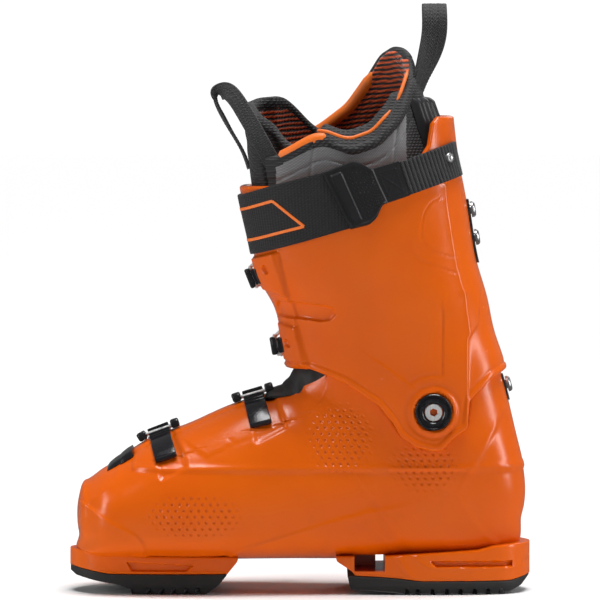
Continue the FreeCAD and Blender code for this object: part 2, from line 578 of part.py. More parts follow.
# ---------------------------------------------------------------- power strap
STRAP_FRONT = [(70, 255), (42.6, 263), (17.5, 271.6), (-17, 280.6), (-28, 242.2), (-1, 234), (34, 224), (70, 212)]
STRAP_OUTER_SIDE = [(-10, 278.5), (-66, 287), (-103, 300.4), (-107.5, 277.5), (-66, 264), (-24, 243)]
PLATE_OUTLINE = [
    (-17.8, 280.8), (-34, 286.8), (-39.3, 286), (-46.5, 281), (-65.7, 287.4), (-69.6, 264.3), (-53.8, 259),
    (-49.8, 249.8), (-45.2, 245.9), (-28.9, 242),
]
ELASTIC_OUTLINE = [(-66.4, 287.2), (-102.6, 300.6), (-107, 277.5), (-70.2, 264.2)]
webbing_zone = side_prism(STRAP_FRONT).fuse(side_prism(STRAP_OUTER_SIDE, -FAR, 0))
PARTS["power_strap"] = biggest(layer(webbing_zone, "cuff", 0.5, 2.8))
PARTS["strap_plate"] = biggest(layer(side_prism(PLATE_OUTLINE, 2, FAR), "cuff", 0.5, 3.6))
elastic = biggest(layer(side_prism(ELASTIC_OUTLINE, 2, FAR), "cuff", 0.5, 2.6))
strap_rivets, rivet_holes = [], []
for side in (1, -1):
    place, axis = outer_frame("cuff", Vector(-60, 0, 287), Vector(-40, side * 33, 2))
    strap_rivets.append(rod(place, axis, 3.2, 0.8, 4.6))
    rivet_holes.append(rod(place, axis, 3.3, 0.0, 8))
PARTS["strap_elastic"] = elastic.cut(rivet_holes[0])
PARTS["power_strap"] = biggest(PARTS["power_strap"].cut(rivet_holes[1]))
PARTS["strap_rivets"] = Part.makeCompound(strap_rivets)


# ---------------------------------------------------------------- pull loops
def pull_loop(root, tip, half_gap, width, thickness):
    """A webbing loop: up on one side, over at the tip, down on the other. Points are (x, z)."""
    start = Vector(root[0], 0, root[1])
    along = Vector(tip[0] - root[0], 0, tip[1] - root[1])
    length = along.Length
    along.normalize()
    wide = along.cross(Y_AXIS)
    bodies = []
    for half in (half_gap + thickness, half_gap):
        straight = length - half
        a = start + Y_AXIS * half
        b = a + along * straight
        c = start + along * (straight + half)
        d = start - Y_AXIS * half + along * straight
        e = start - Y_AXIS * half
        edges = [
            Part.LineSegment(a, b).toShape(), Part.Arc(b, c, d).toShape(),
            Part.LineSegment(d, e).toShape(), Part.LineSegment(e, a).toShape(),
        ]
        face = Part.Face(Part.Wire(edges))
        face.translate(wide * (-width / 2))
        bodies.append(face.extrude(wide * width))
        length -= thickness
    return bodies[0].cut(bodies[1])


PARTS["rear_pull_loop"] = pull_loop((-80, 338), (-89.5, 391.5), 9.0, 17.5, 1.8).cut(surface("liner", 0.3))
PARTS["front_pull_loop"] = pull_loop((26, 292), (57, 333.5), 9.0, 12.0, 1.8).cut(surface("liner", 0.3))

os.makedirs("parts", exist_ok=True)
for name, shape in sorted(PARTS.items()):
    print(f"{name:26s} solids {len(shape.Solids)} valid {shape.isValid()} volume {shape.Volume / 1000:.2f} cm3")
    shape.exportStep(f"parts/{name}.step")
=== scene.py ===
import json
import math

import bmesh
import bpy
import numpy as np
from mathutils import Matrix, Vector
from mathutils.kdtree import KDTree

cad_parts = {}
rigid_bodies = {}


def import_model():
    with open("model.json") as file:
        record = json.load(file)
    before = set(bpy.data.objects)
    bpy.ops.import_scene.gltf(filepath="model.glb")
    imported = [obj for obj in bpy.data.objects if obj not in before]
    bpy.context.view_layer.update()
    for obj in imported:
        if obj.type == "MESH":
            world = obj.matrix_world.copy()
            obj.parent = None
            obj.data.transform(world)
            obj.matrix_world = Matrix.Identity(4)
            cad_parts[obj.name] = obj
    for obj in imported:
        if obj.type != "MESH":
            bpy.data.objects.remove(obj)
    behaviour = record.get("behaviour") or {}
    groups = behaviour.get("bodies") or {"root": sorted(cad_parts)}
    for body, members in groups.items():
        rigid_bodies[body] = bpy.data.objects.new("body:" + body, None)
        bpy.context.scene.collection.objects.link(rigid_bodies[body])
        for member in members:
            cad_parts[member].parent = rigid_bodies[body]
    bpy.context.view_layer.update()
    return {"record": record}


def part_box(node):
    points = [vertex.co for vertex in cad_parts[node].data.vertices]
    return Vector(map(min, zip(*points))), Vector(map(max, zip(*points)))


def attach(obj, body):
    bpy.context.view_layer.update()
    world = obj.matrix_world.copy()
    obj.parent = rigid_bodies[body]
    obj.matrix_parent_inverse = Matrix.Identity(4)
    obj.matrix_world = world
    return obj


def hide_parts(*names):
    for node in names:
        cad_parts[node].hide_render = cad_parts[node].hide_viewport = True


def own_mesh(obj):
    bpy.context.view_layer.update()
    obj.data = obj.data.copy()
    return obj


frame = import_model()

# A right alpine ski boot around its CAD frame. Lengths here are in mm, in the row frame, and become
# metres when a mesh is made. +X points to the toe, +Y to the inner side, +Z up.
MM = 0.001
TAU = 2 * math.pi

# ---------------------------------------------------------------- the boot's three surfaces
# One section per row: low x, low z, high x, high z, half width, widest place, low and high roundness.
SHELL_STATIONS = [
    (147.6, 39, 147.8, 62, 13.0, 0.50, 2.2, 2.2), (146.0, 34, 146.2, 69, 24.0, 0.48, 2.3, 2.2),
    (141.5, 29, 142.0, 74, 33.0, 0.45, 2.4, 2.2), (133.0, 24, 134.0, 79.5, 41.5, 0.42, 2.6, 2.2),
    (118.0, 21.5, 120.0, 87.5, 48.5, 0.38, 2.7, 2.2), (97.0, 21.5, 100.0, 100.0, 53.5, 0.35, 2.7, 2.2),
    (72.0, 21.5, 77.0, 108.7, 55.5, 0.32, 2.7, 2.2), (40.0, 21.5, 48.0, 121.5, 53.0, 0.32, 2.7, 2.2),
    (2.0, 21.5, 20.0, 130.5, 49.0, 0.34, 2.6, 2.2), (-40.0, 21.5, 9.5, 134.5, 45.5, 0.38, 2.6, 2.2),
    (-85.0, 21.5, 6.0, 138.0, 43.0, 0.42, 2.5, 2.3), (-124.0, 24.0, 4.0, 140.5, 42.0, 0.46, 2.3, 2.3),
    (-146.0, 45.0, 2.5, 143.0, 41.5, 0.48, 2.2, 2.3), (-150.0, 76.0, 1.0, 145.0, 41.3, 0.50, 2.2, 2.3),
    (-144.2, 103.0, -0.5, 147.0, 41.2, 0.50, 2.2, 2.3), (-138.5, 127.0, -2.0, 149.0, 41.2, 0.50, 2.2, 2.3),
    (-132.0, 150.0, -3.5, 151.5, 41.0, 0.50, 2.2, 2.3), (-127.0, 166.0, -5.0, 154.0, 40.5, 0.50, 2.2, 2.3),
]
CUFF_STATIONS = [(*row, 0.50, 2.3, 2.2) for row in (
    (-151.0, 84.0, 16.0, 112.0, 47.2), (-145.0, 106.0, 12.0, 130.0, 47.4),
    (-139.0, 134.0, 8.0, 147.0, 47.6), (-136.5, 152.0, 9.0, 158.0, 47.9),
    (-130.0, 172.0, 11.5, 173.0, 48.6), (-125.0, 195.0, 16.0, 191.0, 50.0),
    (-118.5, 217.0, 26.0, 209.0, 51.5), (-114.0, 240.0, 32.0, 232.0, 52.5),
    (-110.6, 262.0, 37.0, 254.0, 53.0), (-106.0, 286.0, 41.0, 274.0, 53.0),
    (-102.0, 318.0, 45.0, 300.0, 52.5),
)]
LINER_STATIONS = [(*row, 0.50, 2.2, 2.3) for row in (
    (-127.5, 112.0, -6.0, 124.0, 35.5), (-126.0, 130.0, -3.0, 143.0, 35.5),
    (-122.5, 152.0, -1.0, 157.0, 35.7), (-120.0, 172.0, 4.0, 174.0, 38.5),
    (-117.5, 196.0, 10.0, 192.0, 43.5), (-112.5, 217.0, 19.0, 209.0, 45.5),
    (-108.0, 240.0, 25.5, 232.0, 46.5), (-104.0, 262.0, 30.5, 254.0, 47.0),
    (-97.0, 286.0, 34.0, 276.0, 46.5), (-86.0, 318.0, 37.0, 303.0, 44.5), (-76.0, 352.0, 38.5, 330.0, 41.0),
    (-69.0, 372.0, 39.0, 350.0, 39.0),
)]
SECTION_POINTS = 20
CUFF_WALL = 4.5


def spline_weights(knots, places):
    """Weights that turn values at the knots into a natural cubic spline's values at the places."""
    count = len(knots)
    gaps = np.diff(knots)
    system, right = np.zeros((count, count)), np.zeros((count, count))
    system[0, 0] = system[-1, -1] = 1
    for i in range(1, count - 1):
        system[i, i - 1:i + 2] = gaps[i - 1], 2 * (gaps[i - 1] + gaps[i]), gaps[i]
        right[i, i - 1:i + 2] = 6 / gaps[i - 1], -6 / gaps[i - 1] - 6 / gaps[i], 6 / gaps[i]
    bends = np.linalg.solve(system, right)
    unit = np.eye(count)
    i = np.clip(np.searchsorted(knots, places, side="right") - 1, 0, count - 2)
    gap = gaps[i][:, None]
    left = (knots[i + 1] - places)[:, None]
    right = (places - knots[i])[:, None]
    flat = unit[i] * left / gap + unit[i + 1] * right / gap
    return flat + bends[i] * (left**3 / gap - left * gap) / 6 + bends[i + 1] * (right**3 / gap - right * gap) / 6


class Surface:
    """A smooth tube through its stations. along runs 0 to 1 from the first station to the last one,
    and around runs 0 to 1 from the crown by way of the inner side, the back and the outer side."""

    def __init__(self, stations):
        rows = np.array(stations, float)
        middles = (rows[:, [0, 1]] + rows[:, [2, 3]]) / 2
        travel = np.concatenate([[0], np.cumsum(np.linalg.norm(np.diff(middles, axis=0), axis=1))])
        self.knots = travel / travel[-1]
        self.sections = np.array([self.section(row) for row in rows])

    @staticmethod
    def section(row):
        low_x, low_z, high_x, high_z, width, widest, low_round, high_round = row
        low = np.array([low_x, low_z])
        along = np.array([high_x, high_z]) - low
        angle = TAU * np.arange(SECTION_POINTS) / SECTION_POINTS
        cosine = np.cos(angle)
        cosine[np.abs(cosine) < 1e-9] = 0
        power = 2 / np.where(cosine >= 0, high_round, low_round)
        reach = np.abs(cosine) ** power
        height = np.where(cosine >= 0, widest + (1 - widest) * reach, widest * (1 - reach))
        side = np.copysign(width * np.abs(np.sin(angle)) ** power, np.sin(angle))
        flat = low + height[:, None] * along
        return np.stack([flat[:, 0], side, flat[:, 1]], axis=1)

    def point(self, along, around):
        along, around = np.broadcast_arrays(np.asarray(along, float), np.asarray(around, float))
        shape = along.shape
        along, around = along.ravel(), around.ravel() % 1.0
        margin = 5
        wrap = np.arange(-margin, SECTION_POINTS + margin + 1)
        weights = spline_weights(wrap / SECTION_POINTS, around)
        folded = np.zeros((len(around), SECTION_POINTS))
        np.add.at(folded, (slice(None), wrap % SECTION_POINTS), weights)
        rows = spline_weights(self.knots, along) @ self.sections.reshape(len(self.knots), -1)
        rows = rows.reshape(-1, SECTION_POINTS, 3)
        return np.einsum("nk,nkc->nc", folded, rows).reshape(shape + (3,))

    def frame(self, along, around):
        """Point, outward normal and the two lengths of a unit step along and around."""
        step = 2e-4
        place = self.point(along, around)
        behind, ahead = np.maximum(along - step, 0), np.minimum(along + step, 1)
        rise = (self.point(ahead, around) - self.point(behind, around)) / (ahead - behind)[..., None]
        turn = (self.point(along, around + step) - self.point(along, around - step)) / (2 * step)
        normal = np.cross(turn, rise)
        size = np.linalg.norm(normal, axis=-1, keepdims=True)
        normal = normal / np.maximum(size, 1e-9)
        return place, normal, np.linalg.norm(rise, axis=-1), np.linalg.norm(turn, axis=-1)


SHELL = Surface(SHELL_STATIONS)
CUFF = Surface(CUFF_STATIONS)
LINER = Surface(LINER_STATIONS)


# ---------------------------------------------------------------- field helpers
def smooth(value, low=0.0, high=1.0):
    """0 below low, 1 above high, and an easy curve between."""
    place = np.clip((value - low) / (high - low), 0, 1)
    return place * place * (3 - 2 * place)


def softened(values, reach):
    """Values averaged over reach neighbours to each side."""
    return np.convolve(np.pad(values, reach, mode="edge"), np.ones(2 * reach + 1) / (2 * reach + 1), "valid")


def line_distance(x, z, line, closed=False):
    """Distance to a side-view line of (x, z) points; positive on the left of its direction."""
    corners = np.array(line + line[:1] if closed else line, float)
    best = np.full(x.shape, 1e9)
    side = np.ones(x.shape)
    for (ax, az), (bx, bz) in zip(corners, corners[1:]):
        dx, dz = bx - ax, bz - az
        place = np.clip(((x - ax) * dx + (z - az) * dz) / (dx * dx + dz * dz), 0, 1)
        gap = np.hypot(x - ax - place * dx, z - az - place * dz)
        turn = dx * (z - az) - dz * (x - ax)
        nearer = gap < best - 1e-9
        side = np.where(nearer, np.sign(turn), side)
        best = np.where(nearer, gap, best)
    return best * side


def ridge(x, z, line, height, width):
    """A crease along a line; a negative height is a groove."""
    return height * np.exp(-np.abs(line_distance(x, z, line)) / width)


def bump(distance, width):
    """1 on a line and falling off within a width to each side."""
    return np.exp(-(distance / width) ** 2)


def hollow(x, z, line, depth, half):
    """A groove with a flat floor along a line."""
    return -depth * smooth(half - np.abs(line_distance(x, z, line)), -half * 0.35, half * 0.5)


def facet(x, z, line, drop, reach):
    """A flat face that starts at a line and lies lower on the line's left."""
    gap = line_distance(x, z, line)
    return -drop * smooth(gap, -0.8, 0.8) * np.exp(-np.maximum(gap, 0) / reach)


def inside(x, z, outline, soft=0.5):
    """1 inside a closed side-view outline, 0 outside it, with a soft edge."""
    corners = np.array(outline, float)
    crossings = np.zeros(x.shape, bool)
    for (ax, az), (bx, bz) in zip(corners, np.roll(corners, -1, axis=0)):
        spans = (az > z) != (bz > z)
        reach = ax + (z - az) * (bx - ax) / (bz - az if bz != az else 1e-9)
        crossings ^= spans & (x < reach)
    gap = np.abs(line_distance(x, z, outline, closed=True))
    return smooth(np.where(crossings, gap, -gap), -soft, soft)


def dimples(x, z, centre, half_x, half_z, pitch=5.0, row=3.95, depth=0.75, radius=1.35):
    """Staggered round dimples that fade towards the edge of an ellipse."""
    u, v = x - centre[0], z - centre[1]
    line = np.round(v / row)
    shift = np.where(line % 2 == 0, 0, pitch / 2)
    column = np.round((u - shift) / pitch)
    du, dv = u - shift - column * pitch, v - line * row
    cu, cv = u - du, v - dv
    fade = 1 - smooth(np.hypot(cu / half_x, cv / half_z), 0.55, 1.02)
    gap = np.hypot(du, dv)
    bowl = -depth * (1 - smooth(gap, 0.25 * radius, radius))
    lip = 0.16 * depth * np.exp(-((gap - radius * 1.15) / (0.35 * radius)) ** 2)
    return fade * (bowl + lip)


def edge_place(surface, around, line, samples=420, last=False):
    """Where each column of a surface first (or last) rises over a side-view line given along x."""
    places = np.linspace(0, 1, samples)
    spots = surface.point(places[:, None], around[None, :])
    xs, zs = zip(*sorted(line))
    over = spots[..., 2] - np.interp(spots[..., 0], xs, zs)
    result = np.ones(len(around))
    for column in range(len(around)):
        height = over[:, column]
        hits = np.nonzero((height[:-1] <= 0) & (height[1:] > 0))[0]
        if height[0] > 0 and not len(hits):
            result[column] = 0
        elif len(hits):
            i = hits[-1] if last else hits[0]
            result[column] = places[i] + (places[i + 1] - places[i]) * height[i] / (height[i] - height[i + 1])
    return result


# ---------------------------------------------------------------- mesh helpers
def lattice(rows, columns, fine=None, factor=3, wrap=True):
    """Faces over a lattice of cells, the fine ones split factor times each way, with no gaps between.
    Returns the corners in cell units and the faces."""
    index, corners, faces = {}, [], []
    across = columns * factor

    def corner(i, j):
        key = (i, j % across if wrap else j)
        if key not in index:
            index[key] = len(corners)
            corners.append(key)
        return index[key]

    def is_fine(r, c):
        if fine is None or not 0 <= r < rows or (not wrap and not 0 <= c < columns):
            return False
        return bool(fine[r, c % columns])

    for r in range(rows):
        for c in range(columns):
            i, j = r * factor, c * factor
            if is_fine(r, c):
                for a in range(i, i + factor):
                    for b in range(j, j + factor):
                        faces.append((corner(a, b), corner(a, b + 1), corner(a + 1, b + 1), corner(a + 1, b)))
                continue
            steps = range(1, factor)
            loop = [corner(i, j)]
            loop += [corner(i, j + k) for k in steps if is_fine(r - 1, c)]
            loop.append(corner(i, j + factor))
            loop += [corner(i + k, j + factor) for k in steps if is_fine(r, c + 1)]
            loop.append(corner(i + factor, j + factor))
            loop += [corner(i + factor, j + factor - k) for k in steps if is_fine(r + 1, c)]
            loop.append(corner(i + factor, j))
            loop += [corner(i + factor - k, j) for k in steps if is_fine(r, c - 1)]
            faces.append(tuple(loop))
    return np.array(corners, float) / factor, faces


def grid_faces(rows, columns, close_rows=False, close_columns=False):
    """Four-sided faces between rows of points, closed across or along where asked."""
    faces = []
    for r in range(rows if close_rows else rows - 1):
        for c in range(columns if close_columns else columns - 1):
            r2, c2 = (r + 1) % rows, (c + 1) % columns
            faces.append((r * columns + c, r * columns + c2, r2 * columns + c2, r2 * columns + c))
    return faces


def wall_faces(rows, columns):
    """Faces of a wall that is open at its foot in a grid, with its two ends and its foot closed."""
    start = [r * columns for r in range(rows)]
    foot = tuple(range(columns)) + tuple(range((rows - 1) * columns, rows * columns))[::-1]
    return grid_faces(rows, columns) + [tuple(start), tuple(i + columns - 1 for i in start), foot]


def add_rings(points, faces, edge, rings):
    """Adds rings of points that carry on from an edge loop, and the faces between them."""
    count, start = len(edge), len(points)
    loops = [edge] + [list(range(start + k * count, start + (k + 1) * count)) for k in range(len(rings))]
    for before, after in zip(loops, loops[1:]):
        faces += [(before[i], before[(i + 1) % count], after[(i + 1) % count], after[i]) for i in range(count)]
    return np.concatenate([points] + rings), loops[-1]


def new_object(name, points, faces, material, body, slot, stands_for=(), smooth_angle=40.0, parts=None):
    """A mesh from points in mm, with its normals turned outwards, on a body."""
    mesh = bpy.data.meshes.new(name)
    mesh.from_pydata((np.asarray(points, float).reshape(-1, 3) * MM).tolist(), [], [tuple(f) for f in faces])
    work = bmesh.new()
    work.from_mesh(mesh)
    bmesh.ops.recalc_face_normals(work, faces=work.faces)
    work.to_mesh(mesh)
    work.free()
    for entry in material if isinstance(material, (list, tuple)) else [material]:
        mesh.materials.append(entry)
    if parts is not None:
        mesh.polygons.foreach_set("material_index", parts)
    thing = bpy.data.objects.new(name, mesh)
    bpy.context.scene.collection.objects.link(thing)
    shade(thing, smooth_angle)
    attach(thing, body)
    if stands_for:
        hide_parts(*stands_for)
    return thing


def shade(thing, angle):
    """Smooth shading, with edges sharper than angle kept sharp."""
    mesh = thing.data
    mesh.polygons.foreach_set("use_smooth", [True] * len(mesh.polygons))
    if angle < 180:
        mesh.set_sharp_from_angle(angle=math.radians(angle))
    mesh.update()


def loft(loops, closed=True, caps=True):
    """Points and faces through loops of equal length, with flat caps at both ends."""
    loops = np.asarray(loops, float)
    rows, columns = loops.shape[:2]
    faces = grid_faces(rows, columns, close_columns=closed)
    if caps:
        faces.append(tuple(range(columns)))
        faces.append(tuple(range((rows - 1) * columns, rows * columns)))
    return loops.reshape(-1, 3), faces


def merge(pieces):
    """Several (points, faces) pairs as one."""
    points, faces, count = [], [], 0
    for some, their in pieces:
        some = np.asarray(some, float).reshape(-1, 3)
        points.append(some)
        faces += [tuple(count + i for i in face) for face in their]
        count += len(some)
    return np.concatenate(points), faces


def smooth_line(points, spacing):
    """A rounded line through the points, with even spacing."""
    points = np.asarray(points, float)
    travel = np.concatenate([[0], np.cumsum(np.linalg.norm(np.diff(points, axis=0), axis=1))])
    count = max(3, int(travel[-1] / spacing) + 1)
    dense = spline_weights(travel, np.linspace(0, travel[-1], count * 4)) @ points
    travel = np.concatenate([[0], np.cumsum(np.linalg.norm(np.diff(dense, axis=0), axis=1))])
    places = np.linspace(0, travel[-1], count)
    return np.stack([np.interp(places, travel, dense[:, k]) for k in range(points.shape[1])], axis=1)


def unit(vectors):
    """The vectors at length one."""
    vectors = np.asarray(vectors, float)
    return vectors / np.maximum(np.linalg.norm(vectors, axis=-1, keepdims=True), 1e-12)


def tube(path, radii, sides=12, normals=None, flat=1.0, round_ends=True):
    """A round or flattened tube along a path; normals give the direction that flat squeezes."""
    path = np.asarray(path, float)
    radii = np.broadcast_to(np.asarray(radii, float), (len(path),)).copy()
    tangent = unit(np.gradient(path, axis=0))
    if normals is None:
        normals = np.zeros_like(path)
        normals[:] = unit(np.cross(tangent[0], [0.31, 0.2, 0.93]))
        for i in range(1, len(path)):
            normals[i] = normals[i - 1]
    normals = unit(normals - tangent * np.sum(normals * tangent, axis=1, keepdims=True))
    side = np.cross(tangent, normals)
    if round_ends:
        steps = np.array([0.99, 0.85, 0.55])
        lead = [(path[0] - tangent[0] * radii[0] * k, radii[0] * math.sqrt(1 - k * k)) for k in steps]
        tail = [(path[-1] + tangent[-1] * radii[-1] * k, radii[-1] * math.sqrt(1 - k * k)) for k in steps[::-1]]
        path = np.concatenate([[p for p, _ in lead], path, [p for p, _ in tail]])
        radii = np.concatenate([[r for _, r in lead], radii, [r for _, r in tail]])
        normals, side = (np.concatenate([[a[0]] * 3, a, [a[-1]] * 3]) for a in (normals, side))
    turn = TAU * np.arange(sides) / sides
    across = normals[:, None] * np.cos(turn)[None, :, None] * flat + side[:, None] * np.sin(turn)[None, :, None]
    return loft(path[:, None] + radii[:, None, None] * across)


def turned_part(centre, axis, outline, sides=48, ring=False):
    """A lathe part: its outline is (distance along axis, radius) from end to end, or round a ring."""
    axis = unit(axis)
    first = unit(np.cross(axis, [0.13, 0.21, 0.97]))
    second = np.cross(axis, first)
    turn = TAU * np.arange(sides) / sides
    loops = []
    for place, radius in outline:
        radius = np.asarray(radius(turn) if callable(radius) else radius, float)
        circle = (first * np.cos(turn)[:, None] + second * np.sin(turn)[:, None]) * radius[..., None]
        loops.append(np.asarray(centre, float) + axis * place + circle)
    if ring:
        return np.concatenate(loops), grid_faces(len(loops), sides, close_rows=True, close_columns=True)
    return loft(loops)


# ---------------------------------------------------------------- materials
class Material:
    """A Principled material whose colour, roughness and bump come from procedural textures."""

    def __init__(self, name, colour, roughness, **sockets):
        self.data = bpy.data.materials.new(name)
        self.data.use_nodes = True
        self.tree = self.data.node_tree
        self.shader = self.tree.nodes["Principled BSDF"]
        self.shader.inputs["Base Color"].default_value = (*colour, 1)
        self.shader.inputs["Roughness"].default_value = roughness
        for socket, value in sockets.items():
            self.shader.inputs[socket.replace("_", " ")].default_value = value
        self.place = self.node("ShaderNodeTexCoord").outputs["Object"]
        self.height = None

    def feed(self, socket, value):
        """Links another node's output to a socket, or sets the socket's own value."""
        if isinstance(value, bpy.types.NodeSocket):
            self.tree.links.new(value, socket)
        else:
            socket.default_value = value

    def node(self, kind, **inputs):
        node = self.tree.nodes.new(kind)
        for key, value in inputs.items():
            self.feed(node.inputs[key.replace("_", " ")], value)
        return node

    def noise(self, scale, detail=4.0, rough=0.55, stretch=None):
        where = self.place
        if stretch:
            where = self.node("ShaderNodeMapping", Vector=where, Scale=stretch).outputs[0]
        made = self.node("ShaderNodeTexNoise", Vector=where, Scale=scale, Detail=detail, Roughness=rough)
        return made.outputs["Fac"]

    def wave(self, scale, direction, distortion):
        where = self.node("ShaderNodeMapping", Vector=self.place).outputs[0]
        node = self.node("ShaderNodeTexWave", Vector=where, Scale=scale, Distortion=distortion)
        node.bands_direction = direction
        return node.outputs["Fac"]

    def spread(self, value, low, high, out_low=0.0, out_high=1.0):
        node = self.node("ShaderNodeMapRange", Value=value)
        for key, number in zip(("From Min", "From Max", "To Min", "To Max"), (low, high, out_low, out_high)):
            node.inputs[key].default_value = number
        return node.outputs[0]

    def maths(self, operation, a, b=0.0):
        node = self.tree.nodes.new("ShaderNodeMath")
        node.operation = operation
        for socket, value in zip(node.inputs, (a, b)):
            self.feed(socket, value)
        return node.outputs[0]

    def mix(self, amount, first, second):
        node = self.tree.nodes.new("ShaderNodeMix")
        node.data_type = "RGBA"
        for index, value in zip((0, 6, 7), (amount, first, second)):
            self.feed(node.inputs[index], (*value, 1) if isinstance(value, tuple) else value)
        return node.outputs[2]

    def colour(self, value):
        self.tree.links.new(value, self.shader.inputs["Base Color"])

    def roughness(self, value):
        self.tree.links.new(value, self.shader.inputs["Roughness"])

    def bump(self, value, depth):
        node = self.node("ShaderNodeBump", Height=value, Distance=depth, Strength=1.0)
        if self.height is not None:
            self.tree.links.new(self.height, node.inputs["Normal"])
        self.height = node.outputs["Normal"]
        self.tree.links.new(self.height, self.shader.inputs["Normal"])

    def worn(self, base, worn, amount=0.5):
        """Lighter on convex edges, as handled plastic is."""
        pointed = self.node("ShaderNodeNewGeometry").outputs["Pointiness"]
        edge = self.spread(pointed, 0.52, 0.60, 0.0, amount)
        patches = self.spread(self.noise(140, 5), 0.42, 0.62)
        return self.mix(self.maths("MULTIPLY", edge, patches), base, worn)


def moulded(name, colour, light, dark, roughness, grain=0.00006, **sockets):
    """Injection-moulded plastic: faint colour drift, worn edges, fine grain and uneven gloss."""
    made = Material(name, colour, roughness, **sockets)
    drift = made.mix(made.spread(made.noise(9, 3), 0.35, 0.65), dark, colour)
    made.colour(made.worn(drift, light))
    scuffs = made.spread(made.noise(60, 8, 0.7), 0.45, 0.75)
    made.roughness(made.spread(scuffs, 0, 1, roughness, roughness + 0.1))
    made.bump(made.noise(1400, 3), grain)
    made.bump(made.noise(38, 3), grain * 2.5)
    return made


ORANGE = moulded("orange_shell", (0.79, 0.128, 0.0005), (0.88, 0.21, 0.012), (0.71, 0.104, 0.0005), 0.19,
                 Specular_IOR_Level=0.42)
BLACK = moulded("black_moulding", (0.018, 0.018, 0.02), (0.09, 0.09, 0.095), (0.011, 0.011, 0.013), 0.36)
GLOSS_BLACK = moulded("gloss_black", (0.012, 0.012, 0.014), (0.05, 0.05, 0.055), (0.008, 0.008, 0.01), 0.14)
METAL_BLACK = moulded("black_coated_metal", (0.03, 0.03, 0.033), (0.32, 0.32, 0.33), (0.02, 0.02, 0.022), 0.26,
                      Metallic=0.75)
RUBBER = moulded("sole_rubber", (0.028, 0.027, 0.026), (0.09, 0.085, 0.08), (0.017, 0.016, 0.016), 0.6,
                 grain=0.00012)


def steel(name, colour, roughness, metallic=1.0):
    made = Material(name, colour, roughness, Metallic=metallic)
    streaks = made.noise(420, 3, 0.6, stretch=(1, 1, 0.06))
    made.roughness(made.spread(streaks, 0.3, 0.7, roughness * 0.7, roughness * 1.5))
    made.colour(made.mix(made.spread(streaks, 0.3, 0.7), tuple(c * 0.8 for c in colour), colour))
    made.bump(streaks, 0.00002)
    return made


CHROME = steel("polished_steel", (0.9, 0.9, 0.89), 0.3, metallic=0.55)
STEEL = steel("brushed_steel", (0.55, 0.55, 0.56), 0.28)


# ---------------------------------------------------------------- lower shell
PIVOT = (-88.0, 122.0)
CUFF_LOWER_EDGE = [
    (60, 150.2), (7.6, 150.2), (-6.3, 150.8), (-18.2, 146.9), (-30, 142.2), (-39.9, 135.6), (-51.8, 127.7),
    (-61, 116.5), (-66.3, 107.3), (-75.6, 100.7), (-87.5, 97.4), (-93.4, 98), (-101.3, 105.9),
    (-110, 111.9), (-112, 129.7), (-115.8, 134.3), (-127.7, 144.9), (-138, 150.2), (-170, 150.2),
]
CLOG_TOP_EDGE = [(-40, 400), (-19.5, 400), (-18.2, 146.2), (-11.6, 141.6), (-2.3, 137), (8.9, 134.6), (16.2, 132.3),
                 (18, 131.9), (19, 400), (200, 400)]
TOE_CREASE = [(141.6, 59.7), (123.8, 48.5), (107.9, 40.6), (102.6, 34.6), (97.4, 26.4)]
WAIST_CREASE = [(104, 26.6), (45.9, 26.1), (38.6, 31.4), (26.7, 34.6), (-20.1, 49.2), (-45.9, 55.8)]
WAIST_FALL = [(-45.9, 55.8), (-51.8, 45.2), (-61.7, 28.1), (-74.2, 10.2)]
HEEL_RISE = [(-55.8, 53.8), (-74.2, 28.1), (-80.2, 21.4), (-86.1, 18.2), (-148, 17.6)]
HEEL_FACET = [(-130.3, 112.5), (-105.3, 67.0), (-123.1, 34.0), (-126, 26)]
TOE_CORNER = [(118, 88), (124, 73), (138.5, 62.5), (141.6, 59.7)]
TOE_STRAP_EDGE = [(94.1, 76.9), (90.5, 82), (92, 98)]
INSTEP_STRAP_EDGE = [(30.7, 100), (27.5, 106), (29, 122)]
CHEVRON = [(72, 99.5), (61.5, 92.6), (51, 97.5)]
FLAP_SEAM = [(47, 104), (42, 100), (-6, 119), (-18, 131)]
FLAP_FRONT = 111.2


POCKETS = [
    [(96.7, 104), (92.5, 76.9), (74, 85.2), (77.5, 96), (84, 108)],
    [(33, 132), (29.5, 100), (8.5, 110.8), (12.5, 122), (17.5, 135)],
]
DIMPLED = [((69, 53.5), 36, 17), ((-26.7, 103), 25.5, 27), ((-82.8, 86), 25.5, 19.5)]


def pocket(x, z, corners, depth, rim):
    """A recess with a bevelled border round a buckle's strap."""
    return rim * bump(line_distance(x, z, corners, closed=True), 1.0) - depth * inside(x, z, corners, 1.3)


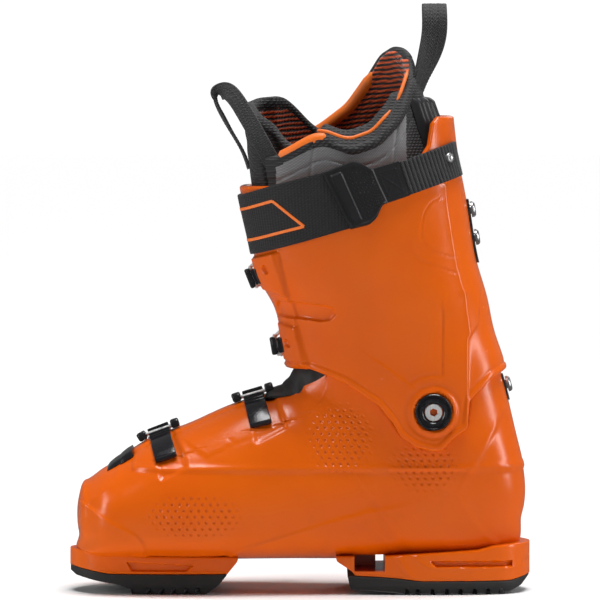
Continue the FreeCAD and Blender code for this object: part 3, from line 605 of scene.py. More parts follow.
def shell_relief(x, y, z):
    """How far the lower shell stands out from its smooth surface, in mm."""
    side = smooth(np.abs(y), 12, 26)
    heel_side = smooth(np.abs(y), 8, 18)
    toe_side = smooth(np.abs(y), 14, 24)
    inner = smooth(y, 5, 12)
    relief = np.zeros_like(x)
    for line, drop, reach, where in (
            (TOE_CREASE[::-1], 0.9, 26, side), (WAIST_CREASE[:0:-1], 1.2, 18, side), (HEEL_RISE, 0.8, 16, side),
            (HEEL_FACET[::-1], 0.9, 20, heel_side), (CHEVRON, 0.7, 7, inner)):
        relief += facet(x, z, line, drop, reach) * where
    for line, height, width, where in (
            (TOE_CREASE, 0.55, 1.3, side), (WAIST_CREASE, 0.7, 1.2, side), (WAIST_FALL, 0.8, 1.3, side),
            (HEEL_RISE, 0.75, 0.9, side), (HEEL_FACET, 0.75, 1.4, heel_side), (TOE_CORNER, 0.7, 2.2, toe_side),
            (TOE_STRAP_EDGE, 0.5, 0.9, inner), (INSTEP_STRAP_EDGE, 0.5, 0.9, inner), (CHEVRON, 0.35, 0.8, inner)):
        relief += ridge(x, z, line, height, width) * where
    for centre, half_x, half_z in DIMPLED:
        relief += dimples(x, z, centre, half_x, half_z) * side
    for corners in POCKETS:
        relief += pocket(x, z, corners, 1.5, 0.55) * inner
    relief += hollow(x, z, FLAP_SEAM, 0.25, 0.8) * inner
    behind_flap = smooth(FLAP_FRONT - x, 0, 1.1)
    overlap = smooth(9 + 0.06 * x - y, 0, 1.1) * smooth(x, 12, 16) * smooth(z, 84, 88)
    relief += 1.5 * behind_flap * smooth(z, 81.5, 84.5)
    relief += 1.0 * overlap * behind_flap - 0.9 * behind_flap * smooth(z, 84, 88)
    return relief


def shell_points(along, around, extra=0.0):
    """Points of the clog's outer face: relief, a lower wall under the cuff, and square ends at the sole."""
    place, normal, _, _ = SHELL.frame(along, around)
    x, y, z = place[..., 0], place[..., 1], place[..., 2]
    relief = shell_relief(x, y, z)
    edge_x, edge_z = zip(*sorted(CUFF_LOWER_EDGE))
    under = smooth(z - np.interp(x, edge_x, edge_z), -0.5, 3.5)
    relief = relief * (1 - under) - 1.6 * under + extra
    moved = place + normal * relief[..., None]
    rear = -132.6 + 0.14 * (moved[..., 2] - 134)
    moved[..., 0] += under * np.maximum(rear - moved[..., 0], 0)
    moved[..., 1] = np.where(under > 0.5, np.clip(moved[..., 1], -41.6, 41.6), moved[..., 1])
    toe_flare = 0.1 * np.clip((40 - moved[..., 2]) / 11.5, 0, 1) ** 2
    heel_flare = 0.12 * np.clip((50 - moved[..., 2]) / 17, 0, 1) ** 1.5
    moved[..., 0] += np.maximum(moved[..., 0] - 60, 0) * toe_flare
    moved[..., 0] += np.minimum(moved[..., 0] + 60, 0) * heel_flare
    tunnel = smooth(moved[..., 0], -58.5, -56.5) * smooth(-moved[..., 0], 33.5, 35.5) * (z < 30)
    moved[..., 2] = np.maximum(moved[..., 2], 21.5 + 4.2 * tunnel)
    return moved


def build_lower_shell():
    """The clog's skin, with a closed nose, a finer grid on the dimples and a rolled upper edge."""
    rows, columns = 236, 236
    around = (np.arange(columns) + 0.5) / columns
    top = edge_place(SHELL, around, CLOG_TOP_EDGE)
    along = np.linspace(0, 1, rows + 1)
    shape = 0.35 * along + 0.65 * (1 - np.cos(along * math.pi * 0.92)) / (1 - math.cos(math.pi * 0.92))
    centre_s = shape[:-1, None] * top[None]
    middle = SHELL.point(centre_s, np.broadcast_to(around, centre_s.shape))
    x, y, z = (middle[..., k] for k in range(3))
    fine = np.zeros(x.shape, bool)
    for (cx, cz), hx, hz in (((69, 53.5), 37, 17.5), ((-26.7, 103), 26, 27.5), ((-82.8, 86), 26, 20)):
        fine |= (np.hypot((x - cx) / hx, (z - cz) / hz) < 1.0) & (np.abs(y) > 15)
    cells, faces = lattice(rows, columns, fine, 3)
    row_place = np.interp(cells[:, 0], np.arange(rows + 1), shape)
    turn = (cells[:, 1] + 0.5) / columns
    wrapped = np.concatenate([top[-1:], top, top[:1]])
    limit = np.interp(turn * columns, np.arange(-1, columns + 1) + 0.5, wrapped)
    points = shell_points(row_place * limit, turn)
    ends = {0: [], rows: []}
    for i, (row, column) in enumerate(cells):
        if row in ends:
            ends[row].append((column, i))
    front = [i for _, i in sorted(ends[0])]
    hub = points[front].mean(axis=0)
    rings = [hub + (points[front] - hub) * share + [bulge, 0, 0]
             for share, bulge in ((0.8, 0.5), (0.5, 0.9), (0.2, 1.1))]
    points, last = add_rings(points, faces, front, rings)
    faces.append(tuple(last))
    edge = [i for _, i in sorted(ends[rows])]
    rim = [shell_points(np.clip(limit[edge] - back / 400, 0, 1), turn[edge], -inset)
           for inset, back in ((0.5, 0.15), (1.4, 0.6), (2.2, 1.8), (3.0, 5.0))]
    points, _ = add_rings(points, faces, edge, rim)
    return new_object("lower_shell_body", points, faces, ORANGE.data, "shell", "shell_orange",
                      ["lower_shell"], 50)


build_lower_shell()


# ---------------------------------------------------------------- sole blocks and rubber pads
TOE_PLAN = [(41, 34.5), (112, 34.5), (128, 31.5), (140, 25.5), (148.5, 16), (153.3, 5)]
HEEL_PLAN = [(-153.3, 4), (-151, 12.5), (-145, 23), (-136, 30.5), (-122, 34.5), (-24, 34.5)]


def profile(points):
    """A height along x that is straight between its points."""
    xs, zs = zip(*sorted(points))
    return lambda x: np.interp(x, xs, zs)


def plan_half(outline):
    """Half width along x, rounded so that the plan's end turns smoothly."""
    line = smooth_line(sorted(outline), 0.5)
    return lambda x: np.interp(x, line[:, 0], line[:, 1])


def block_loops(stations, half, low, high, bevel, relief=None, under=None, side_steps=22, deck_steps=18):
    """Closed sections across a block: underside, one side, deck, other side."""
    loops = []
    for x in stations:
        width, bottom, top = float(half(x)), float(low(x)), float(high(x))
        cut = min(bevel, (top - bottom) / 3, width / 2)
        y = np.linspace(-(width - cut), width - cut, deck_steps)
        underside = np.stack([np.full_like(y, x), y, np.full_like(y, bottom)], axis=1)
        if under is not None:
            underside[:, 2] += under(x, y)
        z = np.linspace(bottom + cut, top - cut, side_steps)
        reach = np.full_like(z, width)
        if relief is not None:
            reach = reach + relief(np.full_like(z, x), z)
        right = np.stack([np.full_like(z, x), reach, z], axis=1)
        corner = np.array([[x, width - 0.3 * cut, bottom + 0.3 * cut]])
        top_corner = np.array([[x, width - 0.3 * cut, top - 0.3 * cut]])
        deck = np.stack([np.full_like(y, x), y[::-1], np.full_like(y, top)], axis=1)
        mirror = np.array([1, -1, 1])
        loops.append(np.concatenate([underside, corner, right, top_corner, deck, top_corner * mirror,
                                     right[::-1] * mirror, corner * mirror]))
    return loops


def toe_block_relief(x, z):
    """A recess in the toe lug's side and a line over the rubber."""
    recess = [(114.5, 21.6), (71.0, 19.4), (75.2, 15.9), (111.2, 15.9)]
    drop = -2.2 * inside(x, z, recess, 0.45)
    return drop + 0.35 * np.exp(-np.abs(z - 15.0) / 0.6)


def heel_block_relief(x, z):
    """A long slot and a small one in the heel lug's side, and its creases."""
    slot = [(-86.5, 22.4), (-140.5, 22.0), (-140.5, 18.6), (-90, 18.9)]
    small = [(-147.5, 22.4), (-151.8, 22.4), (-151.8, 18.4), (-147.5, 18.4)]
    drop = -3.6 * inside(x, z, slot, 0.4) - 0.9 * inside(x, z, small, 0.4)
    drop += ridge(x, z, [(-60, 31), (-74.2, 12)], 0.7, 1.2)
    return drop + ridge(x, z, [(-61.5, 40), (-80.2, 21.4), (-86.1, 17.9), (-150, 17.3)], 0.5, 0.8)


toe_low = profile([(40, 13.6), (127, 13.6), (138, 15.2), (153.3, 17.7)])
heel_low = profile([(-153.3, 11.7), (-151.5, 11.6), (-140, 9.1), (-80, 9.1), (-66, 10.9), (-50, 12.1), (-31, 12.7),
                    (-24, 22)])
toe_high = profile([(40, 25), (100, 25.5), (126, 27.2), (146, 28.7), (154, 28.7)])
heel_high = profile([(-24, 25.5), (-60, 26), (-117.8, 29.5), (-128, 32), (-144, 33.2), (-154, 33.2)])
toe_stations = np.concatenate([np.linspace(41, 70, 20), np.linspace(70.6, 116, 76), np.linspace(117, 146, 30),
                               np.linspace(146.5, 153.3, 18)])
heel_stations = np.concatenate([np.linspace(-153.3, -146, 22), np.linspace(-145.6, -136, 24),
                                np.linspace(-135, -92, 44), np.linspace(-91.6, -84, 16), np.linspace(-83, -24, 60)])


def slanted(loops, amount, low, high):
    """Leans the block's inner end, so that it slopes back under the arch."""
    for loop, share in zip(loops, amount):
        loop[:, 0] += share * (1 - smooth(loop[:, 2], low, high))
    return loops


toe_loops = block_loops(toe_stations, plan_half(TOE_PLAN), toe_low, toe_high, 1.2, toe_block_relief)
toe_loops = slanted(toe_loops, 7.5 * (1 - smooth(toe_stations, 41, 60)), 12, 24)
heel_loops = block_loops(heel_stations, plan_half(HEEL_PLAN), heel_low, heel_high, 1.2, heel_block_relief)
heel_loops = slanted(heel_loops, -7.5 * smooth(heel_stations, -45, -24), 12, 24)
new_object("toe_block", *loft(toe_loops), ORANGE.data, "shell", "shell_orange", ["lower_shell"], 35)
heel_block = new_object("heel_block", *loft(heel_loops), ORANGE.data, "shell", "shell_orange",
                        ["lower_shell"], 35)


def carve(thing, boxes):
    """Cuts boxes given by their low and high corners, in mm, out of a closed mesh."""
    for low, high in boxes:
        size = [(b - a) * MM for a, b in zip(low, high)]
        centre = [(a + b) / 2 * MM for a, b in zip(low, high)]
        bpy.ops.mesh.primitive_cube_add(size=1, location=centre)
        cutter = bpy.context.object
        cutter.scale = size
        bevel = cutter.modifiers.new("round", "BEVEL")
        bevel.width = 0.8 * MM
        bevel.segments = 2
        cut = thing.modifiers.new("cut", "BOOLEAN")
        cut.object = cutter
        cut.operation = "DIFFERENCE"
        cut.solver = "EXACT"
        bpy.context.view_layer.update()
        graph = bpy.context.evaluated_depsgraph_get()
        mesh = bpy.data.meshes.new_from_object(thing.evaluated_get(graph))
        thing.modifiers.clear()
        old, thing.data = thing.data, mesh
        bpy.data.meshes.remove(old)
        bpy.data.objects.remove(cutter)


carve(heel_block, [((-56.2, -4, 15.6), (-36, 60, 30)), ((-56.2, -60, 15.6), (-50.5, 60, 30))])
shade(heel_block, 35)


def tread(x, y, starts, width, depth, centre_half):
    """Grooves across the tread, and a shallow one along its middle."""
    lift = np.zeros_like(y)
    for start in starts:
        lift = np.maximum(lift, depth * smooth(width / 2 - np.abs(x - start - 0.06 * np.abs(y)), -0.3, 0.3))
    return np.maximum(lift, 1.2 * (np.abs(y) < centre_half))


def build_rubber(name, node, stations, plan, low, deck, grooves, inset, soften, depth, floor, edge_top):
    """A rubber sole pad under a block, with grooves that also cut its long edges."""
    loops = block_loops(stations, plan_half(plan), low, lambda x: deck(x) - 0.1, 0.9,
                        relief=lambda x, z: -inset * (1 - smooth(z, 1.5, soften)),
                        under=lambda x, y: tread(x, y, grooves, 2.6, depth, 3), side_steps=12, deck_steps=26)
    for x, loop in zip(stations, loops):
        lift = tread(x, np.array([30.0]), grooves, 2.6, depth, 3)[0]
        edge = (np.abs(loop[:, 1]) > 24) & (loop[:, 2] < edge_top) & (lift > 0.05)
        loop[edge, 2] = np.maximum(loop[edge, 2], floor + lift)
    new_object(name, *loft(loops), RUBBER.data, "shell", "sole_rubber", [node], 30)


TOE_GROOVES = [66.0, 73.5, 82.0, 90.0, 98.5]
HEEL_GROOVES = [-72.5, -79.5, -89.5, -99.0, -108.0, -117.5, -126.5, -135.5]
toe_rubber_low = profile([(48.5, 13.0), (53.8, 6.3), (59, 2.4), (62.5, 0.3), (100, 0.3), (111.5, 0.3), (112, 3.4),
                          (118, 5.2), (119, 6.2), (127, 7.4), (135, 8.6), (149, 11.5), (153.3, 14)])
heel_rubber_low = profile([(-31.5, 12.2), (-33.5, 3.4), (-62, 1.4), (-70, 0.2), (-132, 0.2), (-139, 1.6),
                           (-147, 5.2), (-151, 9.4), (-152.6, 11.0)])
toe_pad_x = np.concatenate([np.linspace(48.5, 64, 24), np.linspace(64.4, 112.4, 122), np.linspace(113, 146, 40),
                            np.linspace(146.5, 153.0, 20)])
heel_pad_x = np.concatenate([np.linspace(-152.6, -140, 34), np.linspace(-139.6, -66, 186),
                             np.linspace(-65, -31.5, 44)])
build_rubber("toe_rubber", "toe_sole", toe_pad_x, TOE_PLAN, toe_rubber_low, toe_low, TOE_GROOVES,
             inset=1.3, soften=7, depth=4.2, floor=0.3, edge_top=4.6)
build_rubber("heel_rubber", "heel_sole", heel_pad_x, HEEL_PLAN, heel_rubber_low, heel_low, HEEL_GROOVES,
             inset=1.0, soften=6, depth=3.6, floor=0.2, edge_top=4.2)


# ---------------------------------------------------------------- cuff
CUFF_UPPER_EDGE = [
    (-170, 316), (-92, 315), (-88.5, 311), (-86, 297), (-80, 288), (-60, 281.5), (-15, 273.5), (18, 269),
    (60, 268),
]
STRAP_LOW = [(90, 205), (70, 212), (34, 224), (-1, 234), (-28, 242.2), (-45, 247), (-66, 264), (-107.5, 277.5),
             (-125, 283)]
FRONT_STEP = [(16, 262), (14, 228), (6, 194), (2, 182), (-2.3, 162), (-5, 150)]


CHANNEL = [(14, 184.5), (-14, 181.5), (-20, 182.5), (-23.6, 186.5), (-21, 190.8), (-12, 192.4), (14, 195)]
OVALS = [
    [(-76.2, 272), (-70.5, 258), (-68.6, 246), (-70.4, 232), (-75.5, 224.5), (-86, 219), (-104.5, 212.9)],
    [(-95.4, 263.7), (-88, 261.5), (-83, 256), (-79.8, 245.2), (-81, 234), (-87, 228.6), (-103.3, 223.4)],
]
SPINE = [(-119.5, 181), (-125, 172), (-128, 164), (-131, 150)]


def cuff_relief(x, y, z):
    """How far the cuff stands out from its smooth surface, in mm."""
    inner = smooth(y, 6, 12)
    side = smooth(np.abs(y), 8, 20)
    rear = smooth(-x, 70, 78)
    edge_x, edge_z = zip(*sorted(CUFF_LOWER_EDGE))
    above = z - np.interp(x, edge_x, edge_z)
    near = np.abs(line_distance(x, z, CUFF_LOWER_EDGE))
    relief = 0.75 * (1 - smooth(near, 1.6, 3.2)) - 0.3 * bump(near - 3.6, 0.8)
    step_z, step_x = zip(*sorted((level, edge) for edge, level in FRONT_STEP))
    ahead = x - np.interp(z, step_z, step_x)
    relief += 1.9 * smooth(ahead, -0.4, 0.9) * smooth(y, -6, 4) * smooth(z, 148, 152)
    relief += 1.5 * smooth(-y, -4, 6) * smooth(x, -25, -5) * smooth(above, 1, 6) * smooth(x, -30, 0)
    relief += (0.5 * bump(line_distance(x, z, CHANNEL, True), 0.8) - 2.4 * inside(x, z, CHANNEL, 0.8)) * inner
    for cx, cz, tall, wide in ((20.4, 216, 15, 8.5), (5.6, 166.5, 13, 8.5)):
        lean = (x - cx) - (z - cz) * 0.3
        boss = np.minimum(wide - np.abs(lean), tall - np.abs(z - cz - 0.3 * (x - cx)))
        relief += 2.0 * smooth(boss, 0, 2.2) * inner
        relief -= 2.6 * (1 - smooth(np.hypot(lean, (z - cz) * 0.72), 1.5, 2.1)) * inner
    for oval in OVALS:
        line = [tuple(p) for p in smooth_line(oval, 4)]
        relief += (hollow(x, z, line, 0.4, 0.7) + ridge(x, z, line, 0.25, 2.0)) * rear * side
    for line, height, width in (([(-94.7, 290), (-96, 262), (-102.8, 218), (-108, 200)], 0.8, 2.4),
                                ([(-108.5, 200), (-112, 172), (-110.5, 112)], 0.8, 2.2),
                                ([(-51.8, 154.8), (-71.6, 140.3)], 0.6, 1.0)):
        relief += ridge(x, z, line, height, width) * side
    for line, drop, reach in (([(-110.5, 112), (-111.2, 170), (-118.5, 179.2), (-119.1, 190)], 1.1, 12),
                              ([(-71.6, 140.3), (-51.8, 154.8)], 0.5, 9), ([(-94, 188), (-94, 147)], 0.5, 5)):
        relief += facet(x, z, line, drop, reach) * side
    relief += hollow(x, z, [(-94, 146.4), (-94, 188.4)], 0.5, 0.8) * side
    halo = np.hypot(x - PIVOT[0], z - PIVOT[1])
    bearing = np.degrees(np.arctan2(z - PIVOT[1], x - PIVOT[0]))
    relief -= 0.5 * bump(halo - 24.6, 0.9) * smooth(bearing, 40, 50) * smooth(-bearing, -104, -92) * side
    relief += (1.0 * (1 - smooth(halo, 14.6, 16.2)) - 2.2 * (1 - smooth(halo, 12.2, 12.9))
               - 0.5 * bump(halo - 17.4, 1.1)) * side
    relief += ridge(x, z, SPINE, 0.8, 1.4) * (1 - smooth(np.abs(y), 18, 26))
    strap_x, strap_z = zip(*sorted(STRAP_LOW))
    covered = smooth(z - np.interp(x, strap_x, strap_z), -3.5, -1.2)
    relief = relief + (np.minimum(relief, 0.2) - relief) * covered
    return relief * smooth(above, -3, 0.2)


def build_cuff():
    """The cuff's wall: outer face with its relief, rounded edges and inner face."""
    columns, rows = 420, 190
    around = np.arange(columns) / columns
    low = edge_place(CUFF, around, CUFF_LOWER_EDGE)
    high = edge_place(CUFF, around, CUFF_UPPER_EDGE, last=True)
    high = np.maximum(high, low + 0.05)
    share = np.linspace(0, 1, rows)[:, None]
    along = low + (high - low) * share
    turn = np.broadcast_to(around, along.shape)
    place, normal, _, _ = CUFF.frame(along, turn)
    outer = place + normal * cuff_relief(*np.moveaxis(place, -1, 0))[..., None]
    half = CUFF_WALL / 2

    def rim(at, direction):
        spot, out, _, _ = CUFF.frame(at, around)
        ahead, _, _, _ = CUFF.frame(np.clip(at + 0.004, 0, 1), around)
        tangent = unit(ahead - spot) * direction
        lift = cuff_relief(*np.moveaxis(spot, -1, 0))[..., None]
        made = []
        for angle in (25, 55, 90, 125, 155):
            a = math.radians(angle)
            made.append(spot + out * (-half + (half + np.maximum(lift, 0) * (math.cos(a) > 0)) * math.cos(a))
                        + tangent * 1.6 * math.sin(a))
        return made

    bottom = rim(low, -1.0)
    top = rim(high, 1.0)
    inner_share = np.linspace(1, 0, 40)[:, None]
    inner_along = low + (high - low) * inner_share
    spot, out, _, _ = CUFF.frame(inner_along, np.broadcast_to(around, inner_along.shape))
    spine_room = smooth(-spot[..., 0], 104, 114) * (1 - smooth(np.abs(spot[..., 1]), 18, 25))
    spine_room = spine_room * (1 - smooth(spot[..., 2], 176, 190)) * smooth(inner_share, 0, 0.03)
    inner = spot - out * (CUFF_WALL - 1.7 * spine_room)[..., None]
    loops = np.array(list(outer) + top + list(inner) + bottom[::-1])
    faces = grid_faces(len(loops), columns, close_rows=True, close_columns=True)
    return new_object("cuff_wall", loops, faces, ORANGE.data, "cuff", "shell_orange", ["cuff_shell"], 50)


build_cuff()


# ---------------------------------------------------------------- charts on a surface
class Chart:
    """Finds surface points from two measures of their place, such as the angle and the place across
    a buckle's plane."""

    def __init__(self, surface, measure):
        self.surface, self.measure = surface, measure
        along, around = np.meshgrid(np.linspace(0, 1, 150), np.linspace(0, 1, 220, endpoint=False),
                                    indexing="ij")
        self.seeds = np.stack([along.ravel(), around.ravel()], axis=1)
        places = measure(surface.point(self.seeds[:, 0], self.seeds[:, 1]))
        self.tree = KDTree(len(places))
        for i, place in enumerate(places):
            self.tree.insert((*place, 0), i)
        self.tree.balance()

    def place(self, first, second, height=0.0):
        """Points at a height over the surface, and the normals there."""
        first, second, height = np.broadcast_arrays(first, second, height)
        target = np.stack([first.ravel(), second.ravel()], axis=1).astype(float)
        spot = np.array([self.seeds[self.tree.find((*t, 0))[1]] for t in target])
        step = 1e-4
        for _ in range(4):
            here = self.measure(self.surface.point(spot[:, 0], spot[:, 1]))
            back = np.where(spot[:, 0] > 0.5, -step, step)
            up = (self.measure(self.surface.point(spot[:, 0] + back, spot[:, 1])) - here) / back[:, None]
            turn = (self.measure(self.surface.point(spot[:, 0], spot[:, 1] + step)) - here) / step
            gap = target - here
            det = up[:, 0] * turn[:, 1] - up[:, 1] * turn[:, 0]
            det = np.where(np.abs(det) < 1e-9, 1e-9, det)
            move = np.stack([(gap[:, 0] * turn[:, 1] - gap[:, 1] * turn[:, 0]) / det,
                             (up[:, 0] * gap[:, 1] - up[:, 1] * gap[:, 0]) / det], axis=1)
            spot = spot + np.clip(move, -0.04, 0.04)
            spot[:, 0] = np.clip(spot[:, 0], 0, 1)
        points, normals, _, _ = self.surface.frame(spot[:, 0], spot[:, 1])
        points = points + normals * height.ravel()[:, None]
        return points.reshape(first.shape + (3,)), normals.reshape(first.shape + (3,))


JOINTS = {joint["name"]: joint for joint in frame["record"]["behaviour"]["joints"]}


class Wrap(Chart):
    """A buckle's plane: the angle runs from its crown towards the inner side, in mm along the surface
    at the buckle's reach, and across runs along the buckle's pins."""

    def __init__(self, name, surface, crown, slope, depth, half, lift, ladder, hook, pivot, length):
        self.name, self.half, self.lift, self.length = name, half, lift, length
        self.ladder, self.hook, self.pivot = ladder, hook, pivot
        turn = math.radians(slope)
        self.crown = np.array([math.cos(turn), 0, math.sin(turn)])
        self.axis = np.array([-math.sin(turn), 0, math.cos(turn)])
        self.centre = np.array([crown[0], 0, crown[1]]) - self.crown * depth
        self.pin = np.array(JOINTS[name + "_lever_hinge"]["pos_m"]) * 1000
        self.bail = np.array(JOINTS[name + "_bail_hinge"]["pos_m"]) * 1000
        self.reach = float(np.linalg.norm(self.pin - self.centre))
        self.capped = surface is CUFF
        self.hook_arm = 6.0 if self.capped else half
        super().__init__(surface, self.read)

    def read(self, points):
        away = points - self.centre
        return np.stack([np.degrees(np.arctan2(away[..., 1], away @ self.crown)), away @ self.axis], axis=-1)

    def degrees(self, length):
        """The angle that a length along the surface takes up."""
        return math.degrees(length / self.reach)

    def length_of(self, angle):
        """The length along the surface that an angle takes up."""
        return angle * self.reach * math.pi / 180

    def spot(self, angle, across, height):
        return self.place(np.array(float(angle)), np.array(float(across)), np.array(float(height)))[0]

    def sweep(self, angles, loops):
        """A closed piece along the plane from one loop of (across, height) points at each angle."""
        loops = np.asarray(loops, float)
        spread = np.broadcast_to(np.asarray(angles, float)[:, None], loops.shape[:2])
        return loft(self.place(spread, loops[..., 0], loops[..., 1])[0])


def round_loop(half, low, high, corner, centre=0.0, steps=4):
    """A rounded rectangle of (across, height) points."""
    corner = min(corner, half * 0.98, (high - low) * 0.49)
    points = []
    for cx, cz, start in ((half - corner, high - corner, 0), (corner - half, high - corner, 90),
                          (corner - half, low + corner, 180), (half - corner, low + corner, 270)):
        for k in range(steps):
            turn = math.radians(start + 90 * k / (steps - 1))
            points.append((centre + cx + corner * math.cos(turn), cz + corner * math.sin(turn)))
    return points


def ends(count):
    """How full each loop is, so that a swept piece has rounded ends."""
    fill = np.ones(count)
    for k, value in enumerate((0.72, 0.9, 0.97)):
        fill[k] = fill[-1 - k] = value
    return fill


# ---------------------------------------------------------------- buckles
WRAPS = [
    Wrap("toe", SHELL, (92.5, 103.5), 71, 45, 11.4, 0, (-13, 53), 6, -42, 52),
    Wrap("instep", SHELL, (30.0, 127.5), 74, 50, 11.4, 0, (-12, 46), 5, -42, 54),
    Wrap("lower_cuff", CUFF, (11.0, 164.0), -22, 60, 9.0, 0.8, (-12, 15), 2, -47, 56),
    Wrap("upper_cuff", CUFF, (27.0, 210.8), -18, 64, 9.0, 0.4, (-12, 15), 2, -46, 60),
]


def ladder_piece(wrap):
    """The toothed catch: a tall stop behind the wire, steps in front of it, then a flat tail."""
    start, end = wrap.ladder
    angles = np.linspace(start, end, 190)
    half = 4.7 if wrap.capped else 0.6 * wrap.half
    fill = ends(len(angles))
    heights = [(-99, 2.3), (-9.5, 2.6), (-8.5, 4.2), (-6.8, 4.4), (-6.2, 3.2), (-5.4, 3.4), (-4.6, 7.0), (-2.2, 7.6),
               (-1.7, 7.2), (-1.5, 2.4), (1.6, 2.4), (2.0, 4.9), (6.6, 5.4), (7.2, 3.6), (9.6, 4.4), (10.4, 4.3),
               (11.0, 3.0), (12.6, 3.9), (13.6, 3.7), (14.2, 2.7), (99, 2.7)]
    places, tops = zip(*heights)
    loops = []
    for angle, full in zip(angles, fill):
        travel = wrap.length_of(angle - wrap.hook)
        left = wrap.length_of(end - angle)
        top = float(np.interp(travel, places, tops)) + 0.9 * math.exp(-((left - 1.4) / 0.9) ** 2)
        width = half * (1 + 0.06 * smooth(angle, wrap.hook, end)) * full
        loops.append(round_loop(width, 0.35, 0.35 + (top - 0.35) * full, 0.6))
    return wrap.sweep(angles, loops)


def clip_pieces(wrap):
    """Moulded knuckles that carry the wire's ends, or one cap over the whole bar on the cuff."""
    if wrap.capped:
        angles = np.linspace(wrap.hook - wrap.degrees(4.6), wrap.hook + wrap.degrees(3.0), 20)
        share = np.linspace(-1, 1, 20)
        dome = np.sqrt(np.clip(1 - np.abs(share) ** 3, 0.05, 1))
        low = 5.0 + wrap.lift
        loops = [round_loop(5.9 * (0.85 + 0.15 * d), low, low + 3.8 * (0.4 + 0.6 * d), 1.2) for d in dome]
        return wrap.sweep(angles, loops)
    made = []
    for side in (-1, 1):
        start, end = wrap.hook - wrap.degrees(6), wrap.hook + wrap.degrees(3.8)
        angles = np.linspace(start, end, 22)
        centre = side * (wrap.half - 0.2)
        loops = []
        for k in range(len(angles)):
            share = k / (len(angles) - 1)
            dome = math.sqrt(max(0.06, 1 - abs(2 * share - 1) ** 3.2))
            notch = 0.5 * math.exp(-((share - 0.42) / 0.07) ** 2)
            top = 2.6 + 5.6 * (0.45 + 0.55 * dome) - notch
            loops.append(round_loop(2.95 * (0.8 + 0.2 * dome) - 0.4 * notch, 2.6, top, 1.2, centre))
        made.append(wrap.sweep(angles, loops))
    return merge(made)


def wire_piece(wrap):
    """A bent steel wire: two arms over the crown and a bar on the ladder."""
    height = 4.2 + wrap.lift
    arm = wrap.hook_arm
    far_arm = wrap.half + 1.4 if wrap.capped else arm
    bail_angle = float(wrap.read(wrap.bail)[0])
    middle = wrap.spot(wrap.hook, 0, height)
    flat_bar = np.array([middle + wrap.axis * a for a in np.linspace(-arm - 0.6, arm + 0.6, 14)])
    pieces = [tube(flat_bar, 1.3, 16)]
    for side in (-1, 1):
        angles = np.linspace(bail_angle, wrap.hook, 34)
        pivot = float(wrap.read(wrap.pin)[0])
        spread = far_arm + (arm - far_arm) * smooth(angles, pivot, wrap.hook - 6)
        path, _ = wrap.place(angles, side * spread, np.full_like(angles, height + 0.35))
        path[0] = wrap.bail + wrap.axis * side * far_arm
        path[-1] = flat_bar[0 if side < 0 else -1] * 0.5 + flat_bar[1 if side < 0 else -2] * 0.5
        pieces.append(tube(smooth_line(path, 1.2), 1.15, 14))
    back = np.array([wrap.bail + wrap.axis * a for a in np.linspace(-far_arm, far_arm, 10)])
    pieces.append(tube(back, 1.15, 14))
    return merge(pieces)


def lever_piece(wrap):
    """A curved lever with a ribbed grip and a turned-up tip, pinned through its forked neck."""
    pivot = float(wrap.read(wrap.pin)[0])
    tip = pivot - wrap.degrees(wrap.length)
    angles = np.linspace(tip, pivot + wrap.degrees(1.0), 120)
    low = 3.7 + wrap.lift
    loops = []
    for angle in angles:
        back = wrap.length_of(pivot - angle)
        share = back / wrap.length
        width = (wrap.half - 3.3) + 3.3 * smooth(back, 7.5, 9.5)
        width *= 1 - 0.18 * smooth(share, 0.55, 1.0)
        rib = 0.45 * (0.5 + 0.5 * math.cos(back * TAU / 3.4))
        rib *= smooth(share, 0.30, 0.36) * (1 - smooth(share, 0.78, 0.84))
        top = low + 3.1 + 0.5 * math.sin(math.pi * share) + rib + 0.9 * smooth(share, 0.88, 1.0)
        full = min(1, 0.6 + 6 * (1 - share)) if share > 0.9 else 1
        loops.append(round_loop(width * (0.75 + 0.25 * full), low + 0.9 * smooth(share, 0.88, 1.0), top, 1.1))
    body = wrap.sweep(angles, loops)
    hub = turned_part(wrap.pin - wrap.axis * (wrap.half - 3.2), wrap.axis,
                      [(0, 1.6), (0, 2.8), (0.4, 3.2), (2 * wrap.half - 6.8, 3.2), (2 * wrap.half - 6.4, 2.8),
                       (2 * wrap.half - 6.4, 1.6)], 32)
    return merge([body, hub])


for wrap in WRAPS:
    body = "cuff" if wrap.capped else "shell"
    for make, piece, material, rider, slot, node, angle in (
            (ladder_piece, "_catch_ladder", GLOSS_BLACK, body, "black_plastic", "_ladder", 32),
            (clip_pieces, "_knuckles", GLOSS_BLACK, wrap.name + "_bail", "black_clip", "_bail_clips", 45),
            (wire_piece, "_wire", CHROME, wrap.name + "_bail", "wire_steel", "_bail_wire", 60),
            (lever_piece, "_lever_arm", METAL_BLACK, wrap.name + "_lever", "lever_black", "_lever", 35)):
        new_object(wrap.name + piece, *make(wrap), material.data, rider, slot, [wrap.name + node], angle)


# ---------------------------------------------------------------- rivets and lever pins
def rivet(wrap, angle, low, high, radius):
    """A round rivet with a shallow dome, standing on the surface."""
    foot, top = wrap.spot(angle, 0, 0), wrap.spot(angle, 0, 1)
    rise = high - low
    return turned_part(foot + (top - foot) * low, top - foot, [
        (0, radius * 0.6), (0, radius), (rise - 0.5, radius), (rise - 0.15, radius * 0.85), (rise, radius * 0.5),
        (rise - 0.1, radius * 0.28), (rise - 0.35, radius * 0.2), (rise - 0.35, 0.01)], 40)


